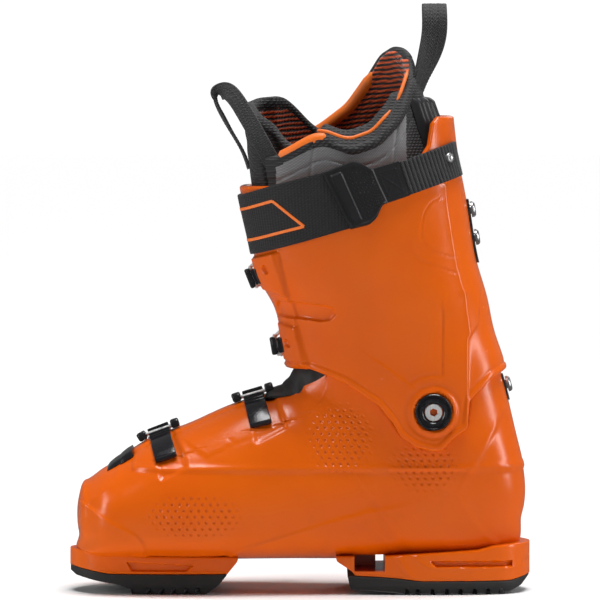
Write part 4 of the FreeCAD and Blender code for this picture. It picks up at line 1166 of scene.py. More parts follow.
for body, wraps in (("shell", WRAPS[:2]), ("cuff", WRAPS[2:])):
    made, pins = [], []
    for wrap in wraps:
        made.append(rivet(wrap, wrap.ladder[1] - wrap.degrees(5), 0.4, 2.4, 3.0))
        pivot = float(wrap.read(wrap.pin)[0])
        made += [rivet(wrap, pivot - wrap.degrees(reach), -1.5, 2.3, 2.4) for reach in (12, 18)]
        span = wrap.half - 0.1
        pins.append(turned_part(wrap.pin - wrap.axis * span, wrap.axis, [
            (0, 0.6), (0, 1.2), (0.3, 1.5), (2 * span - 0.3, 1.5), (2 * span, 1.2), (2 * span, 0.6)], 28))
    new_object(body + "_rivet_heads", *merge(made), CHROME.data, body, "screw_steel", [body + "_rivets"], 40)
    new_object(body + "_hinge_pins", *merge(pins), STEEL.data, body, "screw_steel", [body + "_lever_pins"], 40)


# ---------------------------------------------------------------- bands that lie on a surface
def turn_at(surface, x, side, along=0.5):
    """The place around a surface where it reaches x on one side (1 inner, -1 outer)."""
    around = np.linspace(0, 0.5, 400) * side
    xs = surface.point(np.full(400, along), around)[:, 0]
    return float(np.interp(-x, -xs, around))


class Band:
    """Webbing or a moulded strip on a surface, between two side-view lines, from one turn to another.
    u is the length along it in mm, and v runs from 0 at its lower line to 1 at its upper one."""

    def __init__(self, surface, start, end, low, high, spacing, rows, lean=(0.0, 0.0)):
        self.surface, self.rows = surface, rows
        samples = np.linspace(min(start, end) - 0.05, max(start, end) + 0.05, 160)
        found = []
        for line in (low, high):
            inner_line, outer_line = line if isinstance(line, tuple) else (line, line)
            found.append(np.where(np.sin(samples * TAU) >= 0, edge_place(surface, samples, inner_line),
                                  edge_place(surface, samples, outer_line)))
        self.samples = samples
        self.low, self.high = (softened(f, 2) for f in found)
        middle = surface.point((self.low + self.high) / 2, samples)
        travel = np.concatenate([[0], np.cumsum(np.linalg.norm(np.diff(middle, axis=0), axis=1))])
        self.length = abs(np.interp(end, samples, travel) - np.interp(start, samples, travel))
        self.columns = max(4, int(self.length / spacing))
        self.sense = 1 if end > start else -1
        self.origin = np.interp(start, samples, travel)
        self.travel, self.lean = travel, lean

    def spot(self, u, v, height):
        """A point u mm along the band, at v across it and a height over the surface."""
        u, v, height = np.broadcast_arrays(np.asarray(u, float), np.asarray(v, float), np.asarray(height, float))
        share = u / self.length
        shift = (self.lean[0] * (1 - share) + self.lean[1] * share) * (v - 0.5)
        around = np.interp(self.origin + self.sense * (u + shift), self.travel, self.samples)
        along = (np.interp(around, self.samples, self.low) * (1 - v)
                 + np.interp(around, self.samples, self.high) * v)
        points, normals, _, _ = self.surface.frame(np.clip(along, 0, 1), around)
        return points + normals * height[..., None]

    def solid(self, inner, outer, relief, bevel=0.35):
        """The closed band, with its long edges bevelled."""
        u = np.linspace(0, self.length, self.columns)
        uu, vv = np.meshgrid(u, np.linspace(0, 1, self.rows), indexing="ij")
        top = outer + relief(uu, vv)
        top[:, [0, -1]] -= bevel
        face = self.spot(uu, vv, top)
        back_v = np.linspace(1, 0, max(3, self.rows // 4))
        bu, bv = np.meshgrid(u, back_v, indexing="ij")
        back = self.spot(bu, bv, np.full_like(bu, inner))
        return loft(np.concatenate([face, back], axis=1))

    def ribbon(self, line, half, low, high):
        """A raised ribbon along a (u, v) line, half wide to each side in mm."""
        line = np.asarray(line, float)
        centre = self.spot(line[:, 0], line[:, 1], (low + high) / 2)
        above = self.spot(line[:, 0], line[:, 1], high + 1.0)
        normal = unit(above - centre)
        tangent = unit(np.gradient(centre, axis=0))
        side = unit(np.cross(normal, tangent))
        rise = (high - low) / 2
        loops = [[c - s * half - n * rise, c - s * half + n * rise * 0.7, c - s * half * 0.85 + n * rise,
                  c + s * half * 0.85 + n * rise, c + s * half + n * rise * 0.7, c + s * half - n * rise]
                 for c, s, n in zip(centre, side, normal)]
        return loft(loops)


# ---------------------------------------------------------------- woven materials
WAVES_PER_METRE = 314  # a wave texture's scale for bands 1 mm apart


def woven(name, colour, light, pitch, roughness, depth=0.00022, sheen=0.5):
    """Cloth or webbing: threads crossing at a pitch in mm, seen in colour, gloss and bump."""
    made = Material(name, colour, roughness, Sheen_Weight=sheen, Sheen_Roughness=0.45)
    scale = WAVES_PER_METRE / pitch
    over = made.wave(scale, "DIAGONAL", 0.6)
    across = made.wave(scale, "Z", 0.9)
    weave = made.maths("MULTIPLY", over, across)
    fuzz = made.noise(2600, 2)
    tone = made.maths("ADD", made.maths("MULTIPLY", weave, 0.7), made.maths("MULTIPLY", fuzz, 0.3))
    made.colour(made.mix(made.spread(tone, 0.1, 0.9), colour, light))
    made.roughness(made.spread(weave, 0, 1, roughness, min(1, roughness + 0.15)))
    made.bump(weave, depth)
    made.bump(fuzz, depth * 0.3)
    return made


WEBBING = woven("strap_webbing", (0.009, 0.009, 0.010), (0.03, 0.03, 0.032), 1.1, 0.6, sheen=0.12)
ELASTIC = woven("strap_elastic", (0.010, 0.010, 0.011), (0.055, 0.055, 0.058), 0.8, 0.55, sheen=0.12)
LOOP_WEBBING = woven("loop_webbing", (0.014, 0.014, 0.015), (0.07, 0.07, 0.073), 0.9, 0.6, sheen=0.15)
LINER_BLACK = woven("liner_black_textile", (0.008, 0.008, 0.009), (0.04, 0.04, 0.042), 1.9, 0.62, depth=0.0005,
                    sheen=0.12)
LINER_SILVER = woven("liner_silver_textile", (0.13, 0.13, 0.135), (0.24, 0.24, 0.245), 0.9, 0.36, depth=0.0001,
                     sheen=0.3)
PIPING = moulded("orange_piping", (0.93, 0.2, 0.005), (1.0, 0.34, 0.06), (0.88, 0.16, 0.004), 0.42, grain=0.0001,
                 Sheen_Weight=0.15)
PRINT = moulded("orange_print", (0.93, 0.19, 0.01), (1.0, 0.34, 0.06), (0.88, 0.16, 0.008), 0.5, grain=0.0001)


def striped_knit():
    """Lining knit in wavy orange and black stripes, a few mm apart."""
    made = Material("striped_knit", (0.02, 0.02, 0.02), 0.75, Sheen_Weight=0.4, Sheen_Roughness=0.5)
    tilted = made.node("ShaderNodeMapping", Vector=made.place, Rotation=(0, math.radians(-6), 0)).outputs[0]
    wave = made.node("ShaderNodeTexWave", Vector=tilted, Scale=100.0, Distortion=2.2, Detail=1.0)
    wave.inputs["Detail Scale"].default_value = 0.9
    wave.bands_direction = "Z"
    band = made.spread(wave.outputs["Fac"], 0.4, 0.62)
    stitches = made.wave(220, "DIAGONAL", 1.0)
    broken = made.maths("MULTIPLY", band, made.spread(stitches, 0.0, 0.6, 0.55, 1.0))
    made.colour(made.mix(broken, (0.010, 0.008, 0.008), (0.8, 0.1, 0.006)))
    made.bump(wave.outputs["Fac"], 0.0006)
    made.bump(stitches, 0.0003)
    return made


KNIT = striped_knit()

# ---------------------------------------------------------------- power strap
# The strap's edges in side view, on the inner side (STRAP_LOW is with the cuff) and on the outer one.
STRAP_TOP = [(90, 248), (70, 255), (42.6, 263), (17.5, 271.6), (-17, 280.6), (-66, 288), (-103, 300.6),
             (-125, 308)]
OUTER_TOP = [(90, 248), (70, 255), (42.6, 263), (17.5, 271.6), (-10, 278.5), (-66, 287), (-103, 300.4),
             (-125, 308)]
OUTER_LOW = [(90, 205), (70, 212), (34, 224), (-1, 234), (-24, 243), (-66, 264), (-107.5, 277.5), (-125, 283)]


def strap_turn(x, side):
    """Where the strap reaches x on one side."""
    return turn_at(CUFF, x, side, 0.8)


strap = Band(CUFF, strap_turn(-37, 1), strap_turn(-103, -1), (STRAP_LOW, OUTER_LOW), (STRAP_TOP, OUTER_TOP),
             0.55, 42, lean=(-8, 6))


def strap_relief(u, v):
    """Fine ribs across the webbing and a firm selvedge."""
    ribs = 0.16 * np.cos(u * TAU / 2.2)
    selvedge = 0.25 * np.exp(-(np.minimum(v, 1 - v) / 0.03) ** 2)
    return ribs * smooth(np.minimum(v, 1 - v), 0.02, 0.06) + selvedge


new_object("power_strap_webbing", *strap.solid(0.5, 2.6, strap_relief), WEBBING.data, "cuff",
           "strap_webbing", ["power_strap"], 60)


def strap_u(x, side):
    """The length along the strap at which it reaches x on one side."""
    place = np.interp(strap_turn(x, side), strap.samples, strap.travel)
    return abs(place - strap.origin)


corners = [(strap_u(18.2, 1), 0.745), (strap_u(-1, 1), 0.23), (strap_u(-1, -1), 0.23),
           (strap_u(18.2, -1), 0.745)]
stripes = []
for a, b in zip(corners, corners[1:] + corners[:1]):
    steps = max(6, int(abs(a[0] - b[0]) / 1.2) + 8)
    part = np.linspace(np.array(a), np.array(b), steps)
    stripes.append(strap.ribbon(part, 0.95, 2.6, 3.0))
new_object("strap_outline", *merge(stripes), PRINT.data, "cuff", "strap_webbing", [], 40)

# ---------------------------------------------------------------- keeper plate, stitched patch and elastic
plate = Band(CUFF, strap_turn(-23.2, 1), strap_turn(-69, 1),
             [(0, 234), (-28.9, 241.8), (-45.2, 245.9), (-49.8, 249.8), (-53.8, 259), (-69.6, 264.3), (-90, 271)],
             [(0, 276), (-17.8, 281.2), (-34, 287.6), (-39.3, 286.8), (-46.5, 282.4), (-65.7, 288), (-90, 296)],
             0.5, 74, lean=(-11, -3))


def plate_relief(u, v):
    """Raised rim and bar, a knurled field, and a stitched patch with a cross."""
    edge = np.minimum(np.minimum(v, 1 - v) * 38, u)
    rim = 0.8 * (1 - smooth(np.abs(edge - 1.2), 0.5, 1.1))
    bar = 1.3 * smooth(3.6 - np.abs(u - 7.2), 0, 1.0) * smooth(v, 0.08, 0.13) * (1 - smooth(v, 0.88, 0.93))
    field = smooth(u, 12.5, 13.5) * (1 - smooth(u, 27.5, 29)) * smooth(np.minimum(v, 1 - v), 0.07, 0.11)
    one_way, other_way = (np.cos(u * TAU / 2.5 + turn * v * 38 * TAU / 3.0) for turn in (1, -1))
    knurl = field * (0.8 * np.maximum(one_way, 0) * np.maximum(other_way, 0) - 0.25)
    p, q = (u - 32.0) / 12.0, (v - 0.14) / 0.72
    box = np.minimum(np.minimum(p, 1 - p) * 12, np.minimum(q, 1 - q) * 19)
    seam = np.exp(-(np.abs(box - 0.6) / 0.35) ** 2)
    cross = np.exp(-((p - q) * 9 / 0.45) ** 2) + np.exp(-((p + q - 1) * 9 / 0.45) ** 2)
    stitches = (seam + cross * (box > 0.6)) * (0.5 + 0.5 * np.cos((u + v * 19) * TAU / 1.9))
    patch = smooth(u, 29.5, 30.5) * (-0.8 + 0.35 * stitches * (box > -0.2))
    return rim * (u < 29) + bar + knurl + patch


new_object("strap_keeper_plate", *plate.solid(2.4, 3.9, plate_relief, bevel=0.9), BLACK.data, "cuff",
           "black_plastic", ["strap_plate"], 50)
elastic = Band(CUFF, strap_turn(-66.5, 1), strap_turn(-106.5, 1),
               [(-40, 254), (-69.6, 264.6), (-107.5, 277.8), (-125, 284)],
               [(-40, 280), (-65.7, 287.0), (-102.6, 300.4), (-125, 309)], 0.22, 40, lean=(-3, -5))


def elastic_relief(u, v):
    """Cords across the elastic, with a flat end where it is riveted."""
    ribs = 0.75 * np.abs(np.sin(u * math.pi / 2.9)) ** 0.7
    ribs = ribs * (1 - smooth(u, elastic.length - 6.0, elastic.length - 5.2))
    return ribs + 0.12 * np.cos(v * 24 * TAU / 1.2)


new_object("strap_elastic_web", *elastic.solid(0.5, 2.3, elastic_relief), ELASTIC.data, "cuff", "strap_elastic",
           ["strap_elastic"], 60)


# ---------------------------------------------------------------- ankle pivots
def hexagon(size):
    """The radius of a hexagon at each turn."""
    return lambda turn: size * math.cos(math.pi / 6) / np.cos((turn + math.pi / 6) % (math.pi / 3) - math.pi / 6)


def slotted(size, depth=1.6, slots=4, width=0.16):
    """A round edge with notches cut in it."""
    def radius(turn):
        phase = np.abs((turn * slots / TAU) % 1.0 - 0.5) * TAU / slots
        return size - depth * (1 - smooth(phase, width, width * 1.5))
    return radius


def pivot_parts(side, name):
    """A slotted bearing ring and a hexagon-socket screw on one side of the ankle."""
    low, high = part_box(name + "_pivot_washer")
    face = (high.y if side > 0 else low.y) * 1000
    centre = np.array([PIVOT[0], face - side * 2.6, PIVOT[1]])
    ring = turned_part(centre, (0, side, 0), [
        (0, 6.2), (0, 12.0), (2.6, 12.0), (3.0, 11.6), (3.1, 10.8), (2.5, 10.2), (2.5, slotted(9.6)),
        (3.2, slotted(9.2)), (3.3, 7.4), (2.6, 6.6), (2.4, 6.2)], 160, ring=True)
    new_object(name + "_pivot_ring", *ring, GLOSS_BLACK.data, "cuff", "black_plastic",
               [name + "_pivot_washer"], 32)
    head = turned_part(centre, (0, side, 0), [
        (-9, 3.6), (-2, 3.6), (-2, 5.7), (2.5, 5.7), (3.1, 5.3), (3.3, 4.6), (3.3, hexagon(3.0)),
        (3.1, hexagon(2.8)), (-1.2, hexagon(2.7)), (-1.6, 0.4), (-1.6, 0.01)], 120)
    new_object(name + "_pivot_button", *head, CHROME.data, "shell", "pivot_chrome", [name + "_pivot_screw"], 28)


pivot_parts(1, "medial")
pivot_parts(-1, "lateral")


# ---------------------------------------------------------------- bolts
def ray_spot(surface, origin, direction):
    """Where a line from inside meets a surface, and the surface's normal there."""
    origin, direction = np.array(origin, float), unit(np.array(direction, float))
    low, high = np.array([0.0, 0.0]), np.array([1.0, 1.0])
    for _ in range(4):
        along, around = np.meshgrid(*(np.linspace(low[k], high[k], count) for k, count in ((0, 120), (1, 160))),
                                    indexing="ij")
        away = surface.point(np.clip(along, 0, 1), around) - origin
        forward = away @ direction
        miss = np.linalg.norm(away - forward[..., None] * direction, axis=-1) + 1e4 * (forward < 0)
        best = np.unravel_index(np.argmin(miss), miss.shape)
        centre, reach = np.array([along[best], around[best]]), (high - low) / 30
        low, high = centre - reach, centre + reach
    spot, normal, _, _ = surface.frame(np.clip(centre[:1], 0, 1), centre[1:])
    return spot[0], normal[0]


def button_screw(place, normal, start):
    """A round head with a hexagon socket, on a shank that goes into the wall."""
    return turned_part(place, normal, [
        (-4.2, 2.0), (-4.2, 3.0), (start, 3.0), (start, 5.3), (start + 1.4, 5.3), (start + 2.4, 4.7),
        (start + 2.9, 3.9), (start + 3.0, hexagon(2.7)), (start + 1.4, hexagon(2.5)), (start + 1.2, 0.4),
        (start + 1.2, 0.01)], 96)


heel_place, heel_normal = ray_spot(SHELL, (-100, 0, 137), (-1, 0, 0))
new_object("heel_bolt_head", *button_screw(heel_place, heel_normal, 2.3), STEEL.data, "shell", "screw_steel",
           ["heel_bolt"], 30)
spine_heads = [button_screw(*ray_spot(CUFF, (-60, 0, height), (-1, 0, 0)), 2.0) for height in (253.8, 235.3)]
new_object("spine_bolt_heads", *merge(spine_heads), STEEL.data, "cuff", "screw_steel", ["spine_bolts"], 30)
strap_heads = []
for side in (1, -1):
    place, normal = ray_spot(CUFF, (-60, 0, 287), (-40, side * 33, 2))
    strap_heads.append(turned_part(place, normal, [
        (0.8, 2.0), (0.8, 3.4), (3.9, 3.4), (4.4, 3.0), (4.6, 2.2), (4.3, 1.4), (4.2, 0.01)], 48))
new_object("strap_rivet_heads", *merge(strap_heads), STEEL.data, "cuff", "screw_steel", ["strap_rivets"], 40)


# ---------------------------------------------------------------- CAD parts that keep their shape
def dress(node, material):
    """A procedural material for a CAD part, with its doubled points welded."""
    thing = next(o for o in bpy.context.scene.objects if o.name == node and o.type == "MESH")
    thing.data.materials.clear()
    thing.data.materials.append(material.data)
    thing.modifiers.new("weld", "WELD").merge_threshold = 0.00002


BOARD = moulded("boot_board_plastic", (0.05, 0.05, 0.052), (0.12, 0.12, 0.12), (0.035, 0.035, 0.036), 0.55,
                grain=0.0002)
INSOLE = woven("insole_knit", (0.02, 0.02, 0.022), (0.10, 0.10, 0.105), 1.6, 0.75, depth=0.0004, sheen=0.25)
KEPT = {
    BOARD: ["boot_board"],
    INSOLE: ["insole"],
    LINER_BLACK: ["liner_foot"],
    BLACK: ["spine_plate", "heel_bolt_washer"],
    STEEL: ["medial_pivot_nut", "lateral_pivot_nut", "toe_sole_screws", "heel_sole_screws"],
    METAL_BLACK: [wrap.name + "_buckle_base" for wrap in WRAPS],
}
for material, nodes in KEPT.items():
    for node in nodes:
        dress(node, material)


# ---------------------------------------------------------------- liner
SHAFT_RIM = [(60, 287), (17, 287), (4, 295.5), (-16, 307), (-34, 320.5), (-48.5, 339.5), (-58, 354), (-66, 359),
             (-71, 358.5), (-80, 358.5), (-110, 358.5)]
INNER_RIM = [(60, 287), (17, 287), (6.7, 292), (-4, 298), (-11, 301.3), (-17, 301.3), (-24, 298.3), (-34, 295.4),
             (-50, 301), (-64, 315.5), (-70, 327), (-75, 340), (-80, 352), (-110, 357)]
SHAFT_START = [(-170, 232), (60, 232)]
LINER_WALL = 8.0
COLLAR_LIP = [(0.4, 1.6), (1.4, 3.6), (2.6, 5.6), (3.9, 7.4), (5.0, 9.4), (6.2, 11.4), (7.4, 12.6), (8.6, 11.6),
              (8.9, 7.5), (8.6, 3.0)]


def liner_rim(samples):
    """Where the liner's collar ends: along INNER_RIM on the inner side, and SHAFT_RIM on the outer one."""
    mix = smooth(samples, 0.44, 0.56)
    return edge_place(LINER, samples, INNER_RIM) * (1 - mix) + edge_place(LINER, samples, SHAFT_RIM) * mix


FLAP_TURN = 0.105
shaft_turns = np.linspace(FLAP_TURN, 1 - FLAP_TURN, 330)
shaft_top = softened(liner_rim(shaft_turns), 4)
shaft_low = edge_place(LINER, shaft_turns, SHAFT_START)


def upward(along, around):
    """The liner's direction towards its rim."""
    return unit(LINER.point(along, around) - LINER.point(along - 0.02, around))


def shaft_relief(place, top_gap):
    """Quilting and panel seams on the liner's outer face."""
    x, z = place[..., 0], place[..., 2]
    relief = 0.15 * np.cos((x + 0.3 * z) * TAU / 46)
    for seam in (-62.0, -8.0):
        relief -= 0.8 * bump(x + (z - 290) * 0.12 - seam, 0.7)
    return relief - 0.9 * bump(top_gap - 13, 0.7)


def build_shaft():
    """The padded ring round the leg: outer face, rounded rim and inner face, with a foam-like swell."""
    rows, columns = 64, len(shaft_turns)
    share = np.linspace(0, 1, rows)[:, None]
    along = shaft_low + (shaft_top - shaft_low) * share
    turn = np.broadcast_to(shaft_turns, along.shape)
    place, normal, rise, _ = LINER.frame(along, turn)
    gap = (shaft_top - along) * rise
    outer = place + normal * shaft_relief(place, gap)[..., None]
    spot, out, _, _ = LINER.frame(shaft_top, shaft_turns)
    up = upward(shaft_top, shaft_turns)
    half = LINER_WALL / 2
    lip = smooth(-spot[:, 0], 8, 20) * (1 - smooth(-spot[:, 0], 66, 74)) * smooth(spot[:, 1], 2, 8)
    rim = []
    for angle, (inward, rise_to) in zip((20, 40, 60, 80, 100, 120, 140, 160, 172, 180), COLLAR_LIP):
        turn_by = math.radians(angle)
        depth = half - half * math.cos(turn_by)
        crest = 0.9 * half * math.sin(turn_by)
        rim.append(spot - out * (depth + (inward - depth) * lip)[:, None]
                   + up * (crest + (rise_to - crest) * lip)[:, None])
    inner = (place - normal * (LINER_WALL + 0.35 * np.cos(gap * TAU / 17))[..., None])[-2::-1]
    loops = np.array(list(outer) + rim + list(inner[::2]))
    faces = wall_faces(*loops.shape[:2])
    parts = []
    face_rows = rows - 1
    for r in range(len(loops) - 1):
        for c in range(columns - 1):
            x, y = loops[r, c, :2]
            if r < face_rows:
                parts.append(int(y > 0 and gap[r, c] > 4.5 and -70 < x < 16))
            else:
                turned = r < face_rows + (len(rim) if lip[c] > 0.02 or shaft_turns[c] > 0.9 else 4)
                parts.append(0 if turned else 2)
    parts += [0, 0, 0]
    return new_object("liner_shaft_padding", loops, faces, [LINER_BLACK.data, LINER_SILVER.data, KNIT.data],
                      "cuff", "liner_fabric", ["liner_shaft"], 60, parts)


shaft = build_shaft()


def rim_path(x_start, x_end, side, out, up, count=90):
    """Points along the shaft's rim on one side, moved out from its outer face and up."""
    turns = np.linspace(turn_at(LINER, x_start, side, 0.85), turn_at(LINER, x_end, side, 0.95), count)
    top = np.interp(turns % 1.0, shaft_turns, shaft_top)
    spot, normal, _, _ = LINER.frame(top, turns)
    return spot + normal * out + upward(top, turns) * up, normal


def taper(low, high, ease, count=90):
    """Radii along a cord that swells from its ends."""
    share = np.linspace(0, 1, count)
    return low + (high - low) * np.clip(np.minimum(share, 1 - share) / ease, 0, 1)


def rim_tube(name, start, end, side, out, up, radii, material):
    """A round cord along the rim, from one x to another."""
    path, normals = rim_path(start, end, side, out, up)
    return new_object(name, *tube(path, radii, 22, normals), material.data, "cuff", "liner_fabric", [], 80)


rim_tube("rim_piping_outer", 19, -47.5, -1, -5.4, 1.0, taper(3.0, 4.3, 0.06), PIPING)
rim_tube("rim_piping_inner", 19, -10.5, 1, -4.2, 1.2, taper(2.6, 4.2, 0.08), PIPING)
rim_tube("rim_seam_front", -9, -52, 1, -3.6, 6.8, taper(0.7, 1.2, 0.1), PIPING)
rim_tube("rim_seam_rear", -65.5, -70, 1, -3.2, 6.0, taper(0.7, 1.2, 0.2), PIPING)
roll = rim_tube("collar_roll", -13, -71.5, 1, -1.6, -1.4, taper(1.4, 3.7, 0.14), LINER_BLACK)
rim_tube("rim_binding_outer", -48.5, -76, -1, -3.4, 1.2, taper(2.2, 3.4, 0.05), LINER_BLACK)


def dot_patch(centre, reach, pitch):
    """Small raised dots in a honeycomb on the collar's lip."""
    made = []
    for row in range(-6, 7):
        for column in range(-6, 7):
            x = (column + 0.5 * (row % 2)) * pitch
            rise = row * pitch * 0.87
            gap = math.hypot(x, rise)
            if gap > reach:
                continue
            path, normals = rim_path(centre[0] + x, centre[0] + x - 0.3, 1, -2.6 - 0.36 * (rise + centre[1]),
                                     centre[1] + rise, 2)
            size = 0.75 * (1 - 0.5 * gap / reach)
            made.append(turned_part(path[0] - normals[0] * 0.8, normals[0],
                                    [(0, size * 0.4), (0, size), (1.5, size), (1.9, size * 0.5)], 10))
    return merge(made)


new_object("collar_dots", *dot_patch((-58.5, 4.6), 5.2, 2.0), PRINT.data, "cuff", "liner_fabric", [], 60)

# ---------------------------------------------------------------- tongue
tongue_turns = np.linspace(turn_at(LINER, -13, -1, 0.95), turn_at(LINER, 14, 1, 0.95), 130)
tongue_low = edge_place(LINER, tongue_turns, [(-40, 235), (60, 235)])
TONGUE_OUTER_SIDE = [(-16, 299), (-8.6, 305.5), (2, 316), (10, 322.5), (18.6, 325.5), (28, 324.5), (37, 321)]
TONGUE_INNER_SIDE = [(12, 293), (18, 300), (26, 309), (32, 315.5), (37, 320)]


def tongue_rim(turns):
    """The tongue's top: highest on the outer side, falling steeply on the inner one."""
    places = np.linspace(0.2, 1.0, 300)
    spots = LINER.point(places[:, None], turns[None, :])
    tops = []
    for k, turn in enumerate(turns):
        xs, heights = zip(*(TONGUE_OUTER_SIDE if turn < 0 else TONGUE_INNER_SIDE))
        over = spots[:, k, 2] - np.interp(spots[:, k, 0], xs, heights)
        tops.append(np.interp(0, over, places))
    return softened(tops, 7)


def build_tongue():
    """The padded tongue, whose sides tuck in under the shaft."""
    rows = 56
    top = tongue_rim(tongue_turns)
    share = np.linspace(0, 1, rows)[:, None]
    along = tongue_low + (top - tongue_low) * share
    turn = np.broadcast_to(tongue_turns, along.shape)
    place, normal, rise, _ = LINER.frame(along, turn)
    gap = (top - along) * rise
    tucked = (LINER_WALL + 0.4) * smooth(np.abs(turn), 0.085, 0.118)
    wall = LINER_WALL - 2.5 * smooth(np.abs(turn), 0.085, 0.118)
    swell = 0.5 * np.cos(gap * TAU / 15) * smooth(-gap, -40, -6)
    outer = place + normal * (swell - 1.0 - tucked)[..., None]
    inner = place - normal * (tucked + wall)[..., None]
    up = upward(top, tongue_turns)
    middle = (outer[-1] + inner[-1]) / 2
    half = (outer[-1] - inner[-1]) / 2
    rim = [middle + half * 1.15 * math.cos(a) + up * 4.6 * math.sin(a)
           for a in np.radians([-25, 0, 25, 50, 70, 90, 110, 130, 155, 180, 205])]
    loops = np.array(list(outer[:-2]) + rim + list(inner[-3::-1]))
    count, columns = loops.shape[:2]
    faces = wall_faces(count, columns)
    parts = [0 if r < rows + 9 else 1 for r in range(count - 1) for _ in range(columns - 1)]
    parts += [0, 0, 0]
    return new_object("liner_tongue_padding", loops, faces, [LINER_BLACK.data, KNIT.data], "cuff", "liner_fabric",
                      ["liner_tongue"], 60, parts)


tongue = build_tongue()


# ---------------------------------------------------------------- pull loops
def loop_strap(stations, width, thickness):
    """A herringbone webbing loop through stations of (centre, direction across)."""
    centres = np.array([s[0] for s in stations], float)
    across = np.array([unit(np.array(s[1], float)) for s in stations])
    travel = np.concatenate([[0], np.cumsum(np.linalg.norm(np.diff(centres, axis=0), axis=1))])
    count = int(travel[-1] / 0.45)
    at = np.linspace(0, travel[-1], count)
    weights = spline_weights(travel, at)
    path, across = weights @ centres, unit(weights @ across)
    tangent = unit(np.gradient(path, axis=0))
    across = unit(across - tangent * np.sum(across * tangent, axis=1)[:, None])
    normal = np.cross(tangent, across)
    offsets = np.linspace(-1, 1, 34)
    edge = 1 - 0.6 * smooth(np.abs(offsets), 0.93, 1.0)
    loops = []
    for place, side, out, length in zip(path, across, normal, at):
        chevron = np.cos((length + np.abs((offsets * 2) % 1.0 - 0.5) * 5.0) * TAU / 2.3)
        cord = np.exp(-((np.abs(offsets) - 0.33) / 0.035) ** 2)
        rise = thickness / 2 * edge + (0.16 * chevron + 0.3 * cord) * (edge > 0.9)
        face = place + side * (offsets * width / 2)[:, None] + out * rise[:, None]
        back = place + side * (offsets * width / 2)[:, None] - out * rise[:, None]
        loops.append(np.concatenate([face, back[::-1]]))
    return loft(loops)


REAR_LOOP = [  # places along the loop and the way its face looks there
    ((-76, 7, 322), (0.25, 1, 0.1)), ((-78, 8.5, 333), (0.45, 0.9, 0.1)),
    ((-81.5, 9.5, 344), (0.62, 0.8, 0.1)), ((-86, 9.5, 357), (0.85, 0.5, 0.15)),
    ((-89.2, 9, 371), (1, 0.15, 0.05)), ((-89.4, 6.5, 385), (1, 0, 0)), ((-89.2, 0, 390.2), (1, 0, 0)),
    ((-89.4, -6.5, 385), (1, 0, 0)), ((-89.2, -9, 371), (1, -0.15, 0.05)),
    ((-86, -9.5, 357), (0.85, -0.5, 0.15)), ((-81.5, -9.5, 344), (0.62, -0.8, 0.1)),
    ((-78, -8.5, 333), (0.45, -0.9, 0.1)), ((-76, -7, 322), (0.25, -1, 0.1)),
]
new_object("rear_loop_webbing", *loop_strap(REAR_LOOP, 16.5, 1.7), LOOP_WEBBING.data, "cuff", "loop_webbing",
           ["rear_pull_loop"], 60)
FRONT_LOOP = [((15, 29, 280), (0.88, -0.2, -0.47)), ((21, 29.5, 291), (0.88, -0.3, -0.47)),
              ((29, 27, 305.5), (0.88, -0.3, -0.47)), ((37.5, 20, 320), (0.86, -0.3, -0.47)),
              ((44.5, 12.5, 330), (0.8, -0.4, -0.55)), ((50.8, 4, 333.2), (0.4, -0.3, -0.9)),
              ((56, -3.5, 328.5), (0.15, -0.95, -0.2)), ((52.5, -7, 318), (0.12, -1, -0.1)),
              ((45, -7.5, 304.5), (0.1, -1, 0)), ((37.5, -7, 291), (0.1, -1, 0)), ((34, -6.5, 281), (0.1, -1, 0))]
new_object("front_loop_webbing", *loop_strap(FRONT_LOOP, 11.5, 1.6), LOOP_WEBBING.data, "cuff", "loop_webbing",
           ["front_pull_loop"], 60)

# ---------------------------------------------------------------- rear spoiler
SPOILER_LOW, SPOILER_HIGH = 266, 329
SPOILER_TURNS = (0.40, 0.60)


def build_spoiler():
    """The ribbed pad behind the liner, thick in the middle and thin at its edges."""
    turns = np.linspace(*SPOILER_TURNS, 150)
    low, high = (edge_place(LINER, turns, [(-130, level), (0, level)]) for level in (SPOILER_LOW, SPOILER_HIGH))
    share = np.linspace(0, 1, 60)[:, None]
    along = low + (high - low) * share
    place, normal, _, _ = LINER.frame(along, np.broadcast_to(turns, along.shape))
    side = (turns - 0.5) / 0.1
    ribs = (1 - np.abs(side) ** 5) * (5.2 + 1.1 * np.cos(side * TAU * 3.5))
    ease = np.sqrt(np.clip(np.minimum(share, 1 - share) * 16, 0, 1))
    lift = 0.6 + ribs * ease * (0.8 + 0.2 * np.sin(share * math.pi))
    outer = place + normal * lift[..., None]
    back = place + normal * 0.4
    loops = np.concatenate([outer, back[:, ::-1]], axis=1)
    new_object("rear_spoiler_ribbed", *loft(loops), BLACK.data, "cuff", "black_plastic", ["rear_spoiler"], 50)


build_spoiler()


# ---------------------------------------------------------------- instep gasket and toe seal
GASKET_FRONT = [(-60, 400), (-21, 400), (-19.5, 142), (-2.3, 133), (16, 128), (28, 127.5), (28.5, 400), (200, 400)]
CROWN_START = -28  # where the rubber starts on the crown
BELLOWS_WALL = 1.7


